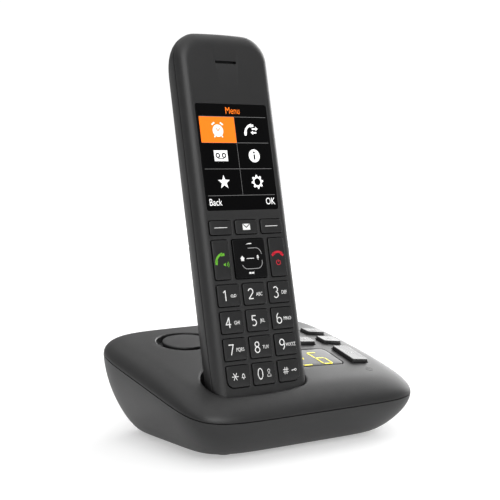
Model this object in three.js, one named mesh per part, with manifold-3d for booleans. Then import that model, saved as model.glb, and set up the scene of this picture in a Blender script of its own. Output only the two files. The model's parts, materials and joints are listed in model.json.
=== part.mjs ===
// Cordless telephone: a handset leaning in the cradle of its answering-machine base.
// Millimetres, +Z up, the keypad faces -Y. The origin is on the table, under the middle of the object.
import * as THREE from 'three';
import { mergeVertices } from 'three/addons/utils/BufferGeometryUtils.js';
import Module from 'manifold-3d';

const wasm = await Module();
wasm.setup();

// ---------------------------------------------------------------- driving dimensions

const GAP = 0.3; // running clearance round every piece that is let into another

const HANDSET = {
  halfWidth: 22.3,
  length: 156.3,
  thickness: 19.5,
  seamDepth: 4.2, // depth of the joint between front and rear cover
  seamGap: 0.35,
  wall: 1.6,
  topRadius: 10.5,
  bottomRadius: 8,
  topCrown: 0.95, // the top end is bowed by this much
  frontFillet: 4.1,
  rearRadius: 14.2,
  tilt: THREE.MathUtils.degToRad(12.1), // lean back from upright
  foot: new THREE.Vector3(-20.7, -37, 17.2), // lower end of the front face, in the base's own frame
};

// How the ends and the corners' radii of each cover change for each millimetre that its sides draw in.
const FRONT_ENDS = { top: 1.5, bottom: 0.75, topCorner: -1, bottomCorner: -1 };
const REAR_ENDS = { top: 1.6, bottom: 0.3, topCorner: 1.2, bottomCorner: 0 };

const BASE = {
  halfWidth: 57.5,
  halfDepth: 45.5,
  seamPower: 6.5, // superellipse power of the outline at the joint of the two shells
  bottomHalfWidth: 44.3,
  bottomHalfDepth: 33.4,
  bottomPower: 5.7,
  bottomZ: 1.6,
  seamZ: 26.4, // height of the joint at the middle
  seamSlope: 0.2154, // the joint rises to the rear
  seamGap: 0.4,
  wall: 2,
  edgeRise: 6.75, // rise of the rounded rim above the joint
  rimRadius: 8.5,
  frontRimRadius: 15,
  crown: 5.2,
  crownPower: 1.3,
};

const CRADLE = {
  halfWidth: 23.1,
  frontClearance: 2.4,
  rearClearance: 0.9,
  floor: -0.8, // along the handset, below its lower end
  wall: 1.8,
  frontRadius: 7,
  rearRadius: 14,
  reach: 40, // the pocket is cut this far up, clear of the top surface
};

const SPEAKER = { x: -26, y: 16.8, recessRadius: 12.5, discRadius: 9.9, depth: 3, floor: 1.6, outlet: 7 };

const DIGIT = {
  height: 8.54,
  pitch: 10.69,
  top: 52.1,
  columns: [[-17.6, -7.23], [-5.19, 5.19], [7.23, 17.6]],
};
const SOFT = { bottom: 72.27, top: 77.85, columns: [[-17.6, -7.3], [-5.27, 5.27], [7.3, 17.6]] };
const NAVIGATION = { bottom: 54.28, top: 70.06, columns: [[-17.57, -10], [-7.73, 7.73], [10, 17.57]] };
const KEY = { proud: 0.4, depth: 2.4, radius: 0.7, cornerRadius: 3 };

const BASE_KEY = { proud: 1.4, depth: 3.2, radius: 1.3, stem: 3.2 };
// name, x, y, width, depth: three columns on the right-hand side of the top
const BASE_KEYS = [
  ['volume_down_key', 9.6, 13.2, 9.4, 6.8],
  ['volume_up_key', 24.3, 13.2, 9.4, 6.8],
  ['answer_on_key', 40.3, 13.2, 10.2, 6.8],
  ['delete_key', 9.6, -1, 9.4, 6.8],
  ['skip_back_key', 24.3, -1, 9.4, 6.8],
  ['skip_forward_key', 39.7, 0.6, 10.2, 7.2],
  ['play_stop_key', 38.2, -16.3, 9, 16],
];
const COUNTER = { x: 17.2, y: -16.7, width: 23.6, depth: 14.9, radius: 2.2 };

const COVER = { from: 21.9, to: 70.1, depth: 11.6 }; // battery cover, along the handset and from the front
const CELL = { radius: 5.25, length: 44, spread: 5.7, depth: 12.3, from: 23.6 };

// ---------------------------------------------------------------- materials

function plastic(colour, roughness) {
  return new THREE.MeshStandardMaterial({ color: colour, roughness, metalness: 0 });
}

function metal(colour, roughness) {
  return new THREE.MeshStandardMaterial({ color: colour, roughness, metalness: 1 });
}

// ---------------------------------------------------------------- solids

function toSolid(geometry) {
  const plain = geometry.clone();
  plain.deleteAttribute('normal');
  plain.deleteAttribute('uv');
  const merged = mergeVertices(plain, 1e-4);
  const corners = merged.index.array;
  const kept = [];
  for (let i = 0; i < corners.length; i += 3) {
    const [p, q, r] = [corners[i], corners[i + 1], corners[i + 2]];
    if (p !== q && q !== r && r !== p) kept.push(p, q, r);
  }
  return new wasm.Manifold(new wasm.Mesh({
    numProp: 3,
    vertProperties: Float32Array.from(merged.attributes.position.array),
    triVerts: Uint32Array.from(kept),
  }));
}

function toMesh(name, solid, material) {
  const { vertProperties, triVerts } = solid.getMesh();
  const geometry = new THREE.BufferGeometry();
  geometry.setAttribute('position', new THREE.BufferAttribute(Float32Array.from(vertProperties), 3));
  geometry.setIndex(new THREE.BufferAttribute(Uint32Array.from(triVerts), 1));
  geometry.computeVertexNormals();
  const mesh = new THREE.Mesh(geometry, material);
  mesh.name = name;
  return mesh;
}

function unite(first, ...others) {
  return others.reduce((whole, solid) => whole.add(solid), first);
}

function cut(first, ...others) {
  return others.reduce((whole, solid) => whole.subtract(solid), first);
}

function block(x0, x1, y0, y1, z0, z1) {
  const geometry = new THREE.BoxGeometry(x1 - x0, y1 - y0, z1 - z0);
  return geometry.translate((x0 + x1) / 2, (y0 + y1) / 2, (z0 + z1) / 2);
}

// A rectangle with its own radius at each corner: left bottom, right bottom, right top, left top.
function rectangle(x0, x1, y0, y1, radii) {
  const corners = Array.isArray(radii) ? radii : [radii, radii, radii, radii];
  const [leftBottom, rightBottom, rightTop, leftTop] = corners;
  const shape = new THREE.Shape();
  shape.absarc(x0 + leftBottom, y0 + leftBottom, leftBottom, Math.PI, 1.5 * Math.PI);
  shape.absarc(x1 - rightBottom, y0 + rightBottom, rightBottom, 1.5 * Math.PI, 2 * Math.PI);
  shape.absarc(x1 - rightTop, y1 - rightTop, rightTop, 0, 0.5 * Math.PI);
  shape.absarc(x0 + leftTop, y1 - leftTop, leftTop, 0.5 * Math.PI, Math.PI);
  shape.closePath();
  return shape;
}

function prism(shape, z0, z1, curveSegments = 3) {
  const geometry = new THREE.ExtrudeGeometry(shape, { depth: z1 - z0, bevelEnabled: false, curveSegments });
  return geometry.translate(0, 0, z0);
}

function rod(radius, z0, z1, sides = 20) {
  const geometry = new THREE.CylinderGeometry(radius, radius, z1 - z0, sides);
  return geometry.rotateX(Math.PI / 2).translate(0, 0, (z0 + z1) / 2);
}

// A prism across the width, whose outline is given as depth and height.
function sidePrism(shape, x0, x1, curveSegments = 3) {
  return prism(shape, x0, x1, curveSegments).rotateY(Math.PI / 2).rotateX(Math.PI / 2);
}

// A closed skin through rings of equally many points, with a fan across each end.
function loft(rings) {
  const count = rings[0].length;
  const points = rings.flat();
  const corners = [];
  for (let level = 0; level + 1 < rings.length; level += 1) {
    for (let i = 0; i < count; i += 1) {
      const next = (i + 1) % count;
      const lower = level * count;
      const upper = lower + count;
      corners.push(lower + i, lower + next, upper + next, lower + i, upper + next, upper + i);
    }
  }
  for (const [level, turned] of [[0, true], [rings.length - 1, false]]) {
    const middle = new THREE.Vector3();
    rings[level].forEach((point) => middle.addScaledVector(point, 1 / count));
    points.push(middle);
    for (let i = 0; i < count; i += 1) {
      const [from, to] = [level * count + i, level * count + (i + 1) % count];
      corners.push(points.length - 1, turned ? to : from, turned ? from : to);
    }
  }
  const geometry = new THREE.BufferGeometry().setFromPoints(points);
  geometry.setIndex(corners);
  return geometry;
}

// ---------------------------------------------------------------- handset
// Its own frame: X across, Y into the thickness from the front face, Z up along the face.

function handsetRing(inset, depth, ends) {
  const { halfWidth, length, topRadius, bottomRadius, topCrown } = HANDSET;
  const half = halfWidth - inset;
  const top = length - topCrown - ends.top * inset;
  const bottom = ends.bottom * inset;
  const topInner = THREE.MathUtils.clamp(topRadius + ends.topCorner * inset, 0.5, half);
  const bottomInner = THREE.MathUtils.clamp(bottomRadius + ends.bottomCorner * inset, 0.5, half);
  const bow = (x) => topCrown * (1 - (x / halfWidth) ** 2);
  const points = [];
  const corner = (side, upper, start) => {
    const inner = upper ? topInner : bottomInner;
    const level = upper ? top - inner : bottom + inner;
    for (let step = 0; step <= 5; step += 1) {
      const angle = (start + step / 10) * Math.PI;
      const x = side * (half - inner) + inner * Math.cos(angle);
      const rise = upper ? bow(x) : 0;
      points.push(new THREE.Vector3(x, depth, level + inner * Math.sin(angle) + rise));
    }
  };
  corner(1, false, -0.5);
  corner(1, true, 0);
  for (const share of [0.6, 0.2, -0.2, -0.6]) {
    const x = share * (half - topInner);
    points.push(new THREE.Vector3(x, depth, top + bow(x)));
  }
  corner(-1, true, 0.5);
  corner(-1, false, 1);
  return points;
}

function quarterAngles(count) {
  return Array.from({ length: count }, (_, i) => (i / (count - 1)) * Math.PI * 0.5);
}

// The front half of the body, from the joint to the flat face, made smaller all round by `skin`.
function frontBody(skin, open) {
  const { frontFillet, seamDepth } = HANDSET;
  const rings = [handsetRing(skin, seamDepth + open, FRONT_ENDS)];
  for (const angle of quarterAngles(5)) {
    const inset = skin + (frontFillet - skin) * (1 - Math.cos(angle));
    rings.push(handsetRing(inset, frontFillet - (frontFillet - skin) * Math.sin(angle), FRONT_ENDS));
  }
  return toSolid(loft(rings));
}

function rearBody(skin, open) {
  const { rearRadius, seamDepth, seamGap, thickness } = HANDSET;
  const rings = [];
  for (const angle of quarterAngles(6).reverse()) {
    const inset = skin + (rearRadius - skin) * (1 - Math.cos(angle));
    const depth = thickness - rearRadius + (rearRadius - skin) * Math.sin(angle);
    rings.push(handsetRing(inset, depth, REAR_ENDS));
  }
  rings.push(handsetRing(skin, seamDepth + seamGap - open, REAR_ENDS));
  return toSolid(loft(rings));
}

// A prism whose outline lies in the front face and whose depth runs into the handset.
function facePrism(shape, from, to, curveSegments = 3) {
  return prism(shape, 0, to - from, curveSegments).rotateX(Math.PI / 2).translate(0, to, 0);
}

function lengthwise(radius, from, to, x, depth, sides) {
  return rod(radius, from, to, sides).translate(x, depth, 0);
}

function handsetKeys() {
  const keys = [];
  const softNames = ['soft_key_left', 'message_key', 'soft_key_right'];
  const rowNames = ['talk_key', 'navigation_key', 'end_key'];
  SOFT.columns.forEach(([x0, x1], i) => {
    keys.push([softNames[i], x0, x1, SOFT.bottom, SOFT.top, KEY.radius]);
  });
  NAVIGATION.columns.forEach(([x0, x1], i) => {
    keys.push([rowNames[i], x0, x1, NAVIGATION.bottom, NAVIGATION.top, KEY.radius]);
  });
  const labels = ['1', '2', '3', '4', '5', '6', '7', '8', '9', 'star', '0', 'hash'];
  labels.forEach((label, i) => {
    const [x0, x1] = DIGIT.columns[i % 3];
    const top = DIGIT.top - Math.floor(i / 3) * DIGIT.pitch;
    const radii = [KEY.radius, KEY.radius, KEY.radius, KEY.radius];
    if (label === 'star') radii[0] = KEY.cornerRadius;
    if (label === 'hash') radii[1] = KEY.cornerRadius;
    keys.push([`digit_key_${label}`, x0, x1, top - DIGIT.height, top, radii]);
  });
  return keys;
}

function grown(radii, by) {
  return Array.isArray(radii) ? radii.map((radius) => radius + by) : radii + by;
}

function keyHole([, x0, x1, z0, z1, radii]) {
  const shape = rectangle(x0 - GAP, x1 + GAP, z0 - GAP, z1 + GAP, grown(radii, GAP));
  return toSolid(facePrism(shape, -1, 3, 2));
}

function keySolid([, x0, x1, z0, z1, radii]) {
  return toSolid(facePrism(rectangle(x0, x1, z0, z1, radii), -KEY.proud, KEY.depth, 2));
}

const WINDOW = { x: 17.37, bottom: 82.25, top: 125.8, radius: 1.2, thickness: 1.2 };
const EAR = { z: 143.5, halfWidth: 5.3, halfHeight: 0.6 };
const RINGER = { z: 118, radius: 10, from: 12.2, to: 17 };

function frontCover(keys) {
  const { x, bottom, top, radius } = WINDOW;
  const glass = rectangle(-x - GAP, x + GAP, bottom - GAP, top + GAP, radius + GAP);
  const { halfWidth, halfHeight, z } = EAR;
  const slot = rectangle(-halfWidth, halfWidth, z - halfHeight, z + halfHeight, 0.5);
  return cut(
    frontBody(0, 0),
    frontBody(HANDSET.wall, 2),
    toSolid(facePrism(glass, -1, 3)),
    toSolid(facePrism(slot, -1, 3)),
    faceHole(0.8, 0, HANDSET.wall + 3.4),
    ...keys.map(keyHole),
  );
}

// A round hole through the front face at height z.
function faceHole(radius, x, z) {
  return toSolid(rod(radius, -1, 3, 12).rotateX(-Math.PI / 2).translate(x, 0, z));
}

const CHARGE = { x: 9, halfWidth: 3, from: 8.2, to: 11.4, thickness: 1.1 };

function chargeSlots(grow) {
  const { x, halfWidth, from, to } = CHARGE;
  return [-x, x].map((middle) => (
    toSolid(block(middle - halfWidth - grow, middle + halfWidth + grow, from - grow, to + grow, -1, 3))
  ));
}

function rearCover() {
  const { wall, thickness, halfWidth } = HANDSET;
  const room = { from: COVER.from - GAP, to: COVER.to + GAP };
  const side = halfWidth + 2;
  const lid = toSolid(block(-side, side, COVER.depth - GAP, thickness + 2, room.from, room.to));
  const floor = toSolid(block(-halfWidth, halfWidth, 6, 6.9, room.from - 1, room.to + 1));
  const bulkheads = [room.from - 1, room.to].map((z) => (
    toSolid(block(-halfWidth, halfWidth, 6.6, thickness, z, z + 1))
  ));
  const bay = unite(floor, ...bulkheads).intersect(rearBody(wall / 2, 0));
  const shell = cut(rearBody(0, 0), rearBody(wall, 2), lid);
  const grille = [-6, -3, 0, 3, 6].map((z) => {
    const reach = Math.sqrt(64 - z * z) - 1;
    const slot = rectangle(-reach, reach, RINGER.z + z - 0.6, RINGER.z + z + 0.6, 0.5);
    return toSolid(facePrism(slot, 16, 22));
  });
  const { boss, headRadius, headFrom, shankRadius, tip } = HANDSET_SCREW;
  const recess = screwBar(headRadius + GAP, headFrom - GAP, thickness + 2, 14);
  const thread = screwBar(shankRadius + GAP, tip - 2, thickness, 8);
  const pillar = screwBar(boss, tip - 1, thickness - wall / 2, 14);
  return cut(unite(shell, bay, pillar), ...grille, ...chargeSlots(GAP), recess, thread);
}

const HANDSET_SCREW = {
  z: 14,
  headRadius: 2.4,
  headFrom: 17.3,
  headTo: 18.7,
  shankRadius: 1,
  tip: 10,
  boss: 3.8,
};

// A round bar along the handset's thickness, at the screw's place.
function screwBar(radius, from, to, sides) {
  return toSolid(rod(radius, from, to, sides).rotateX(-Math.PI / 2).translate(0, 0, HANDSET_SCREW.z));
}

function handsetScrew() {
  const { headRadius, headFrom, headTo, shankRadius, tip, z } = HANDSET_SCREW;
  const slot = toSolid(block(-headRadius, headRadius, headTo - 0.6, headTo + 1, z - 0.4, z + 0.4));
  const head = screwBar(headRadius, headFrom, headTo, 14);
  const shank = screwBar(shankRadius, tip, headFrom + 0.2, 8);
  return cut(unite(head, shank), slot);
}

// Finger notches at the upper corners of the battery cover.
const GRIP = { x: 20.6, depth: 13, radius: 1.1 };

function batteryCover() {
  const { wall, thickness, halfWidth } = HANDSET;
  const { from, to, depth } = COVER;
  // The upper end follows an arc about the lower rear edge, so that the cover can swing out.
  const span = new THREE.Shape();
  span.moveTo(depth, from);
  span.lineTo(thickness + 2, from);
  span.lineTo(thickness + 2, to);
  span.lineTo(thickness, to);
  for (const share of [0.5, 1]) {
    const inward = share * (thickness - depth);
    span.lineTo(thickness - inward, from + Math.sqrt((to - from) ** 2 - inward ** 2));
  }
  span.closePath();
  const grip = rod(GRIP.radius, to - 1.6, to + 1, 12);
  const notches = [-GRIP.x, GRIP.x].map((x) => toSolid(grip.clone().translate(x, GRIP.depth, 0)));
  const lid = toSolid(sidePrism(span, -halfWidth - 2, halfWidth + 2));
  return cut(rearBody(0, 0).intersect(lid), rearBody(wall, 2), ...notches);
}

function batteryCell() {
  const { radius, length } = CELL;
  const profile = [
    [0, 0], [radius - 0.4, 0], [radius, 0.4], [radius, length - 1.6], [radius - 0.6, length - 1],
    [1.9, length - 1], [1.9, length], [0, length],
  ];
  const geometry = new THREE.LatheGeometry(profile.map(([x, y]) => new THREE.Vector2(x, y)), 14);
  return toSolid(geometry.rotateX(Math.PI / 2));
}

function batteryPlate(z0, z1, nubFrom, nubTo) {
  const plate = toSolid(block(-11, 11, 8.6, 17, z0, z1));
  const nubs = [-CELL.spread, CELL.spread].map((x) => (
    toSolid(lengthwise(2.2, nubFrom, nubTo, x, CELL.depth, 12))
  ));
  return unite(plate, ...nubs);
}

function lcdModule() {
  const frame = block(-16.9, 16.9, 1.7, 3.9, 83, 125);
  return toSolid(frame);
}

function keypadMat(keys) {
  const sheet = toSolid(facePrism(rectangle(-18.6, 18.6, 7, 80, 2), 3.6, 4.2));
  const pads = keys.map(([, x0, x1, z0, z1]) => {
    const [x, z] = [(x0 + x1) / 2, (z0 + z1) / 2];
    return toSolid(block(x - 1.5, x + 1.5, 3.2, 3.8, z - 1.5, z + 1.5));
  });
  return unite(sheet, ...pads);
}

function handsetBoard() {
  const board = toSolid(facePrism(rectangle(-19.4, 19.4, 6, 134, 3), 4.5, 5.6));
  const antenna = toSolid(facePrism(rectangle(-6, 6, 133, 138, 1), 4.5, 5.6));
  return unite(board, antenna);
}

function speakerUnit(radius, height, magnetRadius, magnetHeight) {
  const profile = [
    [0, 0], [magnetRadius, 0], [magnetRadius, magnetHeight], [radius, magnetHeight + 1],
    [radius, height], [radius - 1.2, height], [radius * 0.4, height - 1], [0, height - 0.8],
  ];
  return new THREE.LatheGeometry(profile.map(([x, y]) => new THREE.Vector2(x, y)), 16);
}

function buildHandset() {
  const group = new THREE.Group();
  const keys = handsetKeys();
  const body = plastic(0x38393b, 0.5);
  const keyPlastic = plastic(0x2e2f31, 0.45);
  const gloss = plastic(0x101113, 0.15);
  const board = plastic(0x1f5a37, 0.6);
  const gold = metal(0xd9b25a, 0.3);
  const steel = metal(0xb8babd, 0.35);
  const add = (name, solid, material) => {
    const mesh = toMesh(name, solid, material);
    group.add(mesh);
    return mesh;
  };
  add('handset_front_cover', frontCover(keys), body);
  add('handset_rear_cover', rearCover(), body);
  add('battery_cover', batteryCover(), body);
  const pane = rectangle(-WINDOW.x, WINDOW.x, WINDOW.bottom, WINDOW.top, WINDOW.radius);
  add('display_window', toSolid(facePrism(pane, 0, WINDOW.thickness)), gloss);
  add('lcd_module', lcdModule(), gloss);
  add('handset_circuit_board', handsetBoard(), board);
  add('keypad_mat', keypadMat(keys), plastic(0x8a8c90, 0.8));
  keys.forEach((key) => add(key[0], keySolid(key), key[0] === 'navigation_key' ? gloss : keyPlastic));

  const earpiece = speakerUnit(6.2, 3.4, 4, 1.2).rotateX(Math.PI).translate(0, 5.4, EAR.z);
  add('earpiece_speaker', toSolid(earpiece), steel);
  const ringer = speakerUnit(RINGER.radius, RINGER.to - RINGER.from, 6, 2);
  add('ringer_speaker', toSolid(ringer.translate(0, RINGER.from, RINGER.z)), steel);
  const microphone = rod(2, 0, 1.6, 14).rotateX(Math.PI / 2).translate(0, 3.6, 3.4 + HANDSET.wall);
  add('microphone', toSolid(microphone), steel);

  const left = add('battery_cell_left', batteryCell(), metal(0x9fa4a8, 0.4));
  left.position.set(-CELL.spread, CELL.depth, CELL.from);
  const right = add('battery_cell_right', batteryCell(), metal(0x9fa4a8, 0.4));
  right.position.set(CELL.spread, CELL.depth, CELL.from);
  add('battery_contact_lower', batteryPlate(22, 22.5, 22.2, 23.2), steel);
  add('battery_contact_upper', batteryPlate(69.4, 69.9, 68, 69.6), steel);

  const { x, halfWidth, from, to, thickness } = CHARGE;
  const pad = block(-halfWidth, halfWidth, from, to, 0.2, 0.2 + thickness);
  add('charging_pad_left', toSolid(pad), gold).position.x = -x;
  add('charging_pad_right', toSolid(pad), gold).position.x = x;
  add('handset_screw', handsetScrew(), steel);

  group.position.copy(HANDSET.foot);
  group.rotation.x = -HANDSET.tilt;
  group.updateMatrixWorld(true);
  return group;
}

// ---------------------------------------------------------------- base

function seamHeight(y) {
  return BASE.seamZ + BASE.seamSlope * y;
}

// Height of the domed top surface at a place on the base.
function topHeight(x, y) {
  const { halfWidth, halfDepth, seamPower, rimRadius, frontRimRadius, edgeRise, crown, crownPower } = BASE;
  const [shareX, shareY] = [Math.abs(x / halfWidth), Math.abs(y / halfDepth)];
  const reach = (shareX ** seamPower + shareY ** seamPower) ** (1 / seamPower);
  const inward = Math.max(1 - reach, 0) * (halfWidth + halfDepth) / 2;
  const frontShare = THREE.MathUtils.clamp(-y / halfDepth, 0, 1) ** 2;
  const radius = rimRadius + (frontRimRadius - rimRadius) * frontShare;
  const rim = Math.sqrt(1 - (1 - Math.min(inward / radius, 1)) ** 2);
  const swell = (1 - shareX ** 2) * Math.max(1 - shareY ** 2, 0) ** crownPower;
  return seamHeight(y) + edgeRise * rim + crown * swell;
}

// A frame on the top surface: its Z is the surface's normal, its X runs across the base.
function topFrame(x, y) {
  const step = 0.5;
  const slopeX = (topHeight(x + step, y) - topHeight(x - step, y)) / (2 * step);
  const slopeY = (topHeight(x, y + step) - topHeight(x, y - step)) / (2 * step);
  const across = new THREE.Vector3(1, 0, slopeX).normalize();
  const normal = new THREE.Vector3(-slopeX, -slopeY, 1).normalize();
  const along = new THREE.Vector3().crossVectors(normal, across);
  return new THREE.Matrix4().makeBasis(across, along, normal).setPosition(x, y, topHeight(x, y));
}

const OUTLINE_POINTS = 44;

// One point of a superellipse outline, at a share of a full turn.
function outlinePoint(share, halfWidth, halfDepth, power) {
  const angle = share * 2 * Math.PI;
  const [c, s] = [Math.cos(angle), Math.sin(angle)];
  const x = halfWidth * Math.sign(c) * Math.abs(c) ** 0.62;
  const y = halfDepth * Math.sign(s) * Math.abs(s) ** 0.62;
  const size = (Math.abs(x / halfWidth) ** power + Math.abs(y / halfDepth) ** power) ** (1 / power);
  return new THREE.Vector2(x / size, y / size);
}

function outlineShares() {
  return Array.from({ length: OUTLINE_POINTS }, (_, i) => (i + 0.5) / OUTLINE_POINTS);
}

function seamPoint(share, inset) {
  return outlinePoint(share, BASE.halfWidth - inset, BASE.halfDepth - inset, BASE.seamPower);
}

// The domed body above the joint, made smaller by `skin` and reaching `drop` below the joint.
function topBody(skin, drop, insets) {
  const shares = outlineShares();
  const ring = (inset, height) => shares.map((share) => {
    const rim = seamPoint(share, skin);
    const scale = 1 - inset / ((BASE.halfWidth + BASE.halfDepth) / 2);
    const at = rim.multiplyScalar(scale);
    return new THREE.Vector3(at.x, at.y, height(at));
  });
  const rings = [ring(0, (at) => seamHeight(at.y) + BASE.seamGap / 2 - drop)];
  for (const inset of insets) {
    rings.push(ring(inset, (at) => {
      const outer = 1 + skin / BASE.halfWidth;
      const rise = topHeight(at.x * outer, at.y * outer) - skin;
      return Math.max(rise, seamHeight(at.y) + BASE.seamGap / 2 + 0.3);
    }));
  }
  return toSolid(loft(rings));
}

// How far the lower shell has drawn in at a share of its depth, 0 at the joint and 1 at the bottom.
function hullInset(share) {
  return 0.55 * share ** 1.6 + 0.45 * (1 - Math.sqrt(1 - share * share));
}

function bottomBody(skin, top, shares, floor) {
  const turns = outlineShares();
  const rings = shares.map((share) => turns.map((turn) => {
    const rim = seamPoint(turn, skin);
    const [footX, footY] = [BASE.bottomHalfWidth - skin, BASE.bottomHalfDepth - skin];
    const foot = outlinePoint(turn, footX, footY, BASE.bottomPower);
    const at = rim.lerp(foot, hullInset(Math.max(share, 0)));
    const start = seamHeight(at.y) - BASE.seamGap / 2;
    const height = share < 0 ? start + top : THREE.MathUtils.lerp(start, floor, share);
    return new THREE.Vector3(at.x, at.y, height);
  }));
  return toSolid(loft(rings.reverse()));
}

function inHandsetFrame(geometry) {
  const matrix = new THREE.Matrix4().makeRotationX(-HANDSET.tilt).setPosition(HANDSET.foot);
  return geometry.applyMatrix4(matrix);
}

// The cradle's pocket, a prism along the handset; `grow` gives its outer wall.
function cradlePrism(grow, from, to) {
  const { halfWidth, frontClearance, rearClearance, frontRadius, rearRadius } = CRADLE;
  const shape = new THREE.Shape();
  const side = halfWidth + grow;
  const front = -frontClearance - grow;
  const rear = HANDSET.thickness + rearClearance + grow;
  const [rf, rr] = [frontRadius + grow, rearRadius + grow];
  shape.absarc(side - rf, front + rf + 1, rf, -0.5 * Math.PI, 0);
  shape.absarc(side - rr, rear - rr, rr, 0, 0.5 * Math.PI);
  shape.absarc(-side + rr, rear - rr, rr, 0.5 * Math.PI, Math.PI);
  shape.absarc(-side + rf, front + rf + 1, rf, Math.PI, 1.5 * Math.PI);
  shape.quadraticCurveTo(0, front - 1, side - rf, front + 1);
  return inHandsetFrame(prism(shape, from, to, 5));
}

const CONTACT = { x: 9, halfWidth: 1.6, depth: 9.8, halfDepth: 2.2 };

function contactSlots() {
  const { x, halfWidth, depth, halfDepth } = CONTACT;
  const [reachX, reachY] = [halfWidth + GAP, halfDepth + GAP];
  return [-x, x].map((middle) => toSolid(inHandsetFrame(
    block(middle - reachX, middle + reachX, depth - reachY, depth + reachY, -8, 2),
  )));
}

// A sprung contact: an arched tongue above a flat leg, moving along the handset.
function cradleContact() {
  const { halfWidth, halfDepth } = CONTACT;
  const side = new THREE.Shape();
  side.moveTo(-halfDepth, -6);
  side.lineTo(-halfDepth, -1.6);
  side.quadraticCurveTo(0, 1.4, halfDepth, -1.6);
  side.lineTo(halfDepth, -6);
  side.lineTo(halfDepth - 0.6, -6);
  side.lineTo(halfDepth - 0.6, -2);
  side.quadraticCurveTo(0, 0.6, -halfDepth + 0.6, -2);
  side.lineTo(-halfDepth + 0.6, -6);
  side.closePath();
  return sidePrism(side, -halfWidth, halfWidth, 5);
}

function topPrism([x, y, width, depth], grow, from, to, radius, segments = 3) {
  const [halfWidth, halfDepth] = [width / 2 + grow, depth / 2 + grow];
  const shape = rectangle(-halfWidth, halfWidth, -halfDepth, halfDepth, radius + grow);
  return prism(shape, from, to, segments).applyMatrix4(topFrame(x, y));
}

const POSTS = [[-40, 5], [24, 30]];
const POST = { radius: 3.4, hole: 1.5, bottom: 6.6, top: 60 };

function baseTopCover() {
  const insets = [0, 0.2, 0.9, 2.4, 5, 8.5, 13, 22, 36];
  const shell = topBody(0, 0, insets).subtract(topBody(BASE.wall, 3, [0, 2, 6.5, 14, 30]));
  const tub = toSolid(cradlePrism(CRADLE.wall, CRADLE.floor - CRADLE.wall, CRADLE.reach));
  const speaker = topFrame(SPEAKER.x, SPEAKER.y);
  const seat = rod(SPEAKER.recessRadius + 1.6, -SPEAKER.depth - SPEAKER.floor, 0, 20);
  const post = rod(POST.radius, POST.bottom, POST.top, 16);
  const posts = POSTS.map(([x, y]) => toSolid(post.clone().translate(x, y, 0)));
  const inward = unite(tub, toSolid(seat.applyMatrix4(speaker)), ...posts);
  const solid = inward.intersect(unite(topBody(0, 0, insets), belowSeam()));
  const recess = rod(SPEAKER.recessRadius, -SPEAKER.depth, 9, 28).applyMatrix4(speaker);
  const outlet = rod(SPEAKER.outlet, -9, 2, 16).applyMatrix4(speaker);
  const { x, y, width, depth, radius } = COUNTER;
  const holes = BASE_KEYS.map(([, ...place]) => (
    toSolid(topPrism(place, GAP, -12, 6, BASE_KEY.radius))
  ));
  return cut(
    unite(shell, solid),
    toSolid(cradlePrism(0, CRADLE.floor, CRADLE.reach + 20)),
    toSolid(recess),
    toSolid(outlet),
    toSolid(topPrism([x, y, width, depth], GAP, -12, 6, radius)),
    ...holes,
    ...contactSlots(),
    ...POSTS.map(([px, py]) => toSolid(rod(POST.hole, 0, 22, 12).translate(px, py, 0))),
  );
}

// Everything inside the lower shell, so that the cradle and posts may reach into it.
function belowSeam() {
  return bottomBody(BASE.wall + 1, 1, [-1, 0, 0.4, 0.7, 0.9, 1], BASE.bottomZ + 3);
}

const FEET = [
  ['foot_front_left', -33, -23], ['foot_front_right', 33, -23],
  ['foot_rear_left', -33, 24], ['foot_rear_right', 33, 24],
];
const FOOT = { radius: 4.6, height: 2.6 };
const SCREW = { headRadius: 2.7, headFrom: 2.2, headTo: 4, shank: 1.2, tip: 16 };
const SOCKETS = {
  power_socket: { x: -14, halfWidth: 4.5, halfHeight: 4, mouthHalfWidth: 2.3, mouthHalfHeight: 2.3 },
  line_socket: { x: 10, halfWidth: 6.5, halfHeight: 4.5, mouthHalfWidth: 4.8, mouthHalfHeight: 3 },
};
const SOCKET = { z: 11.5, front: 26, rear: 38, mouth: 29 };

function baseBottomCover() {
  const outer = bottomBody(0, 0, [0, 0.2, 0.4, 0.6, 0.76, 0.88, 0.96, 1], BASE.bottomZ);
  const inner = bottomBody(BASE.wall, 4, [-1, 0, 0.4, 0.7, 0.9, 1], BASE.bottomZ + 2.4);
  const boss = rod(4.6, 2, POST.bottom - GAP, 18);
  const bosses = POSTS.map(([x, y]) => toSolid(boss.clone().translate(x, y, 0)));
  const body = unite(outer.subtract(inner), ...bosses.map((part) => part.intersect(outer)));
  const head = rod(SCREW.headRadius + GAP, 0, SCREW.headTo + GAP, 18);
  const shank = rod(SCREW.shank + GAP, 0, 20, 12);
  const seat = rod(FOOT.radius + GAP, 0, FOOT.height + GAP, 16);
  const heads = POSTS.map(([x, y]) => toSolid(head.clone().translate(x, y, 0)));
  const shanks = POSTS.map(([x, y]) => toSolid(shank.clone().translate(x, y, 0)));
  const seats = FEET.map(([, x, y]) => toSolid(seat.clone().translate(x, y, 0)));
  const ports = Object.values(SOCKETS).map(({ x, halfWidth, halfHeight }) => (
    socketBlock(x, halfWidth + GAP, halfHeight + GAP, SOCKET.front - 2, SOCKET.rear + 12)
  ));
  return cut(body, ...heads, ...shanks, ...seats, ...ports);
}

function socketBlock(x, halfWidth, halfHeight, front, rear) {
  const { z } = SOCKET;
  return toSolid(block(x - halfWidth, x + halfWidth, front, rear, z - halfHeight, z + halfHeight));
}

function socket({ x, halfWidth, halfHeight, mouthHalfWidth, mouthHalfHeight }) {
  const shell = socketBlock(x, halfWidth, halfHeight, SOCKET.front, SOCKET.rear);
  const mouth = socketBlock(x, mouthHalfWidth, mouthHalfHeight, SOCKET.mouth, SOCKET.rear + 2);
  return cut(shell, mouth);
}

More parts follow.
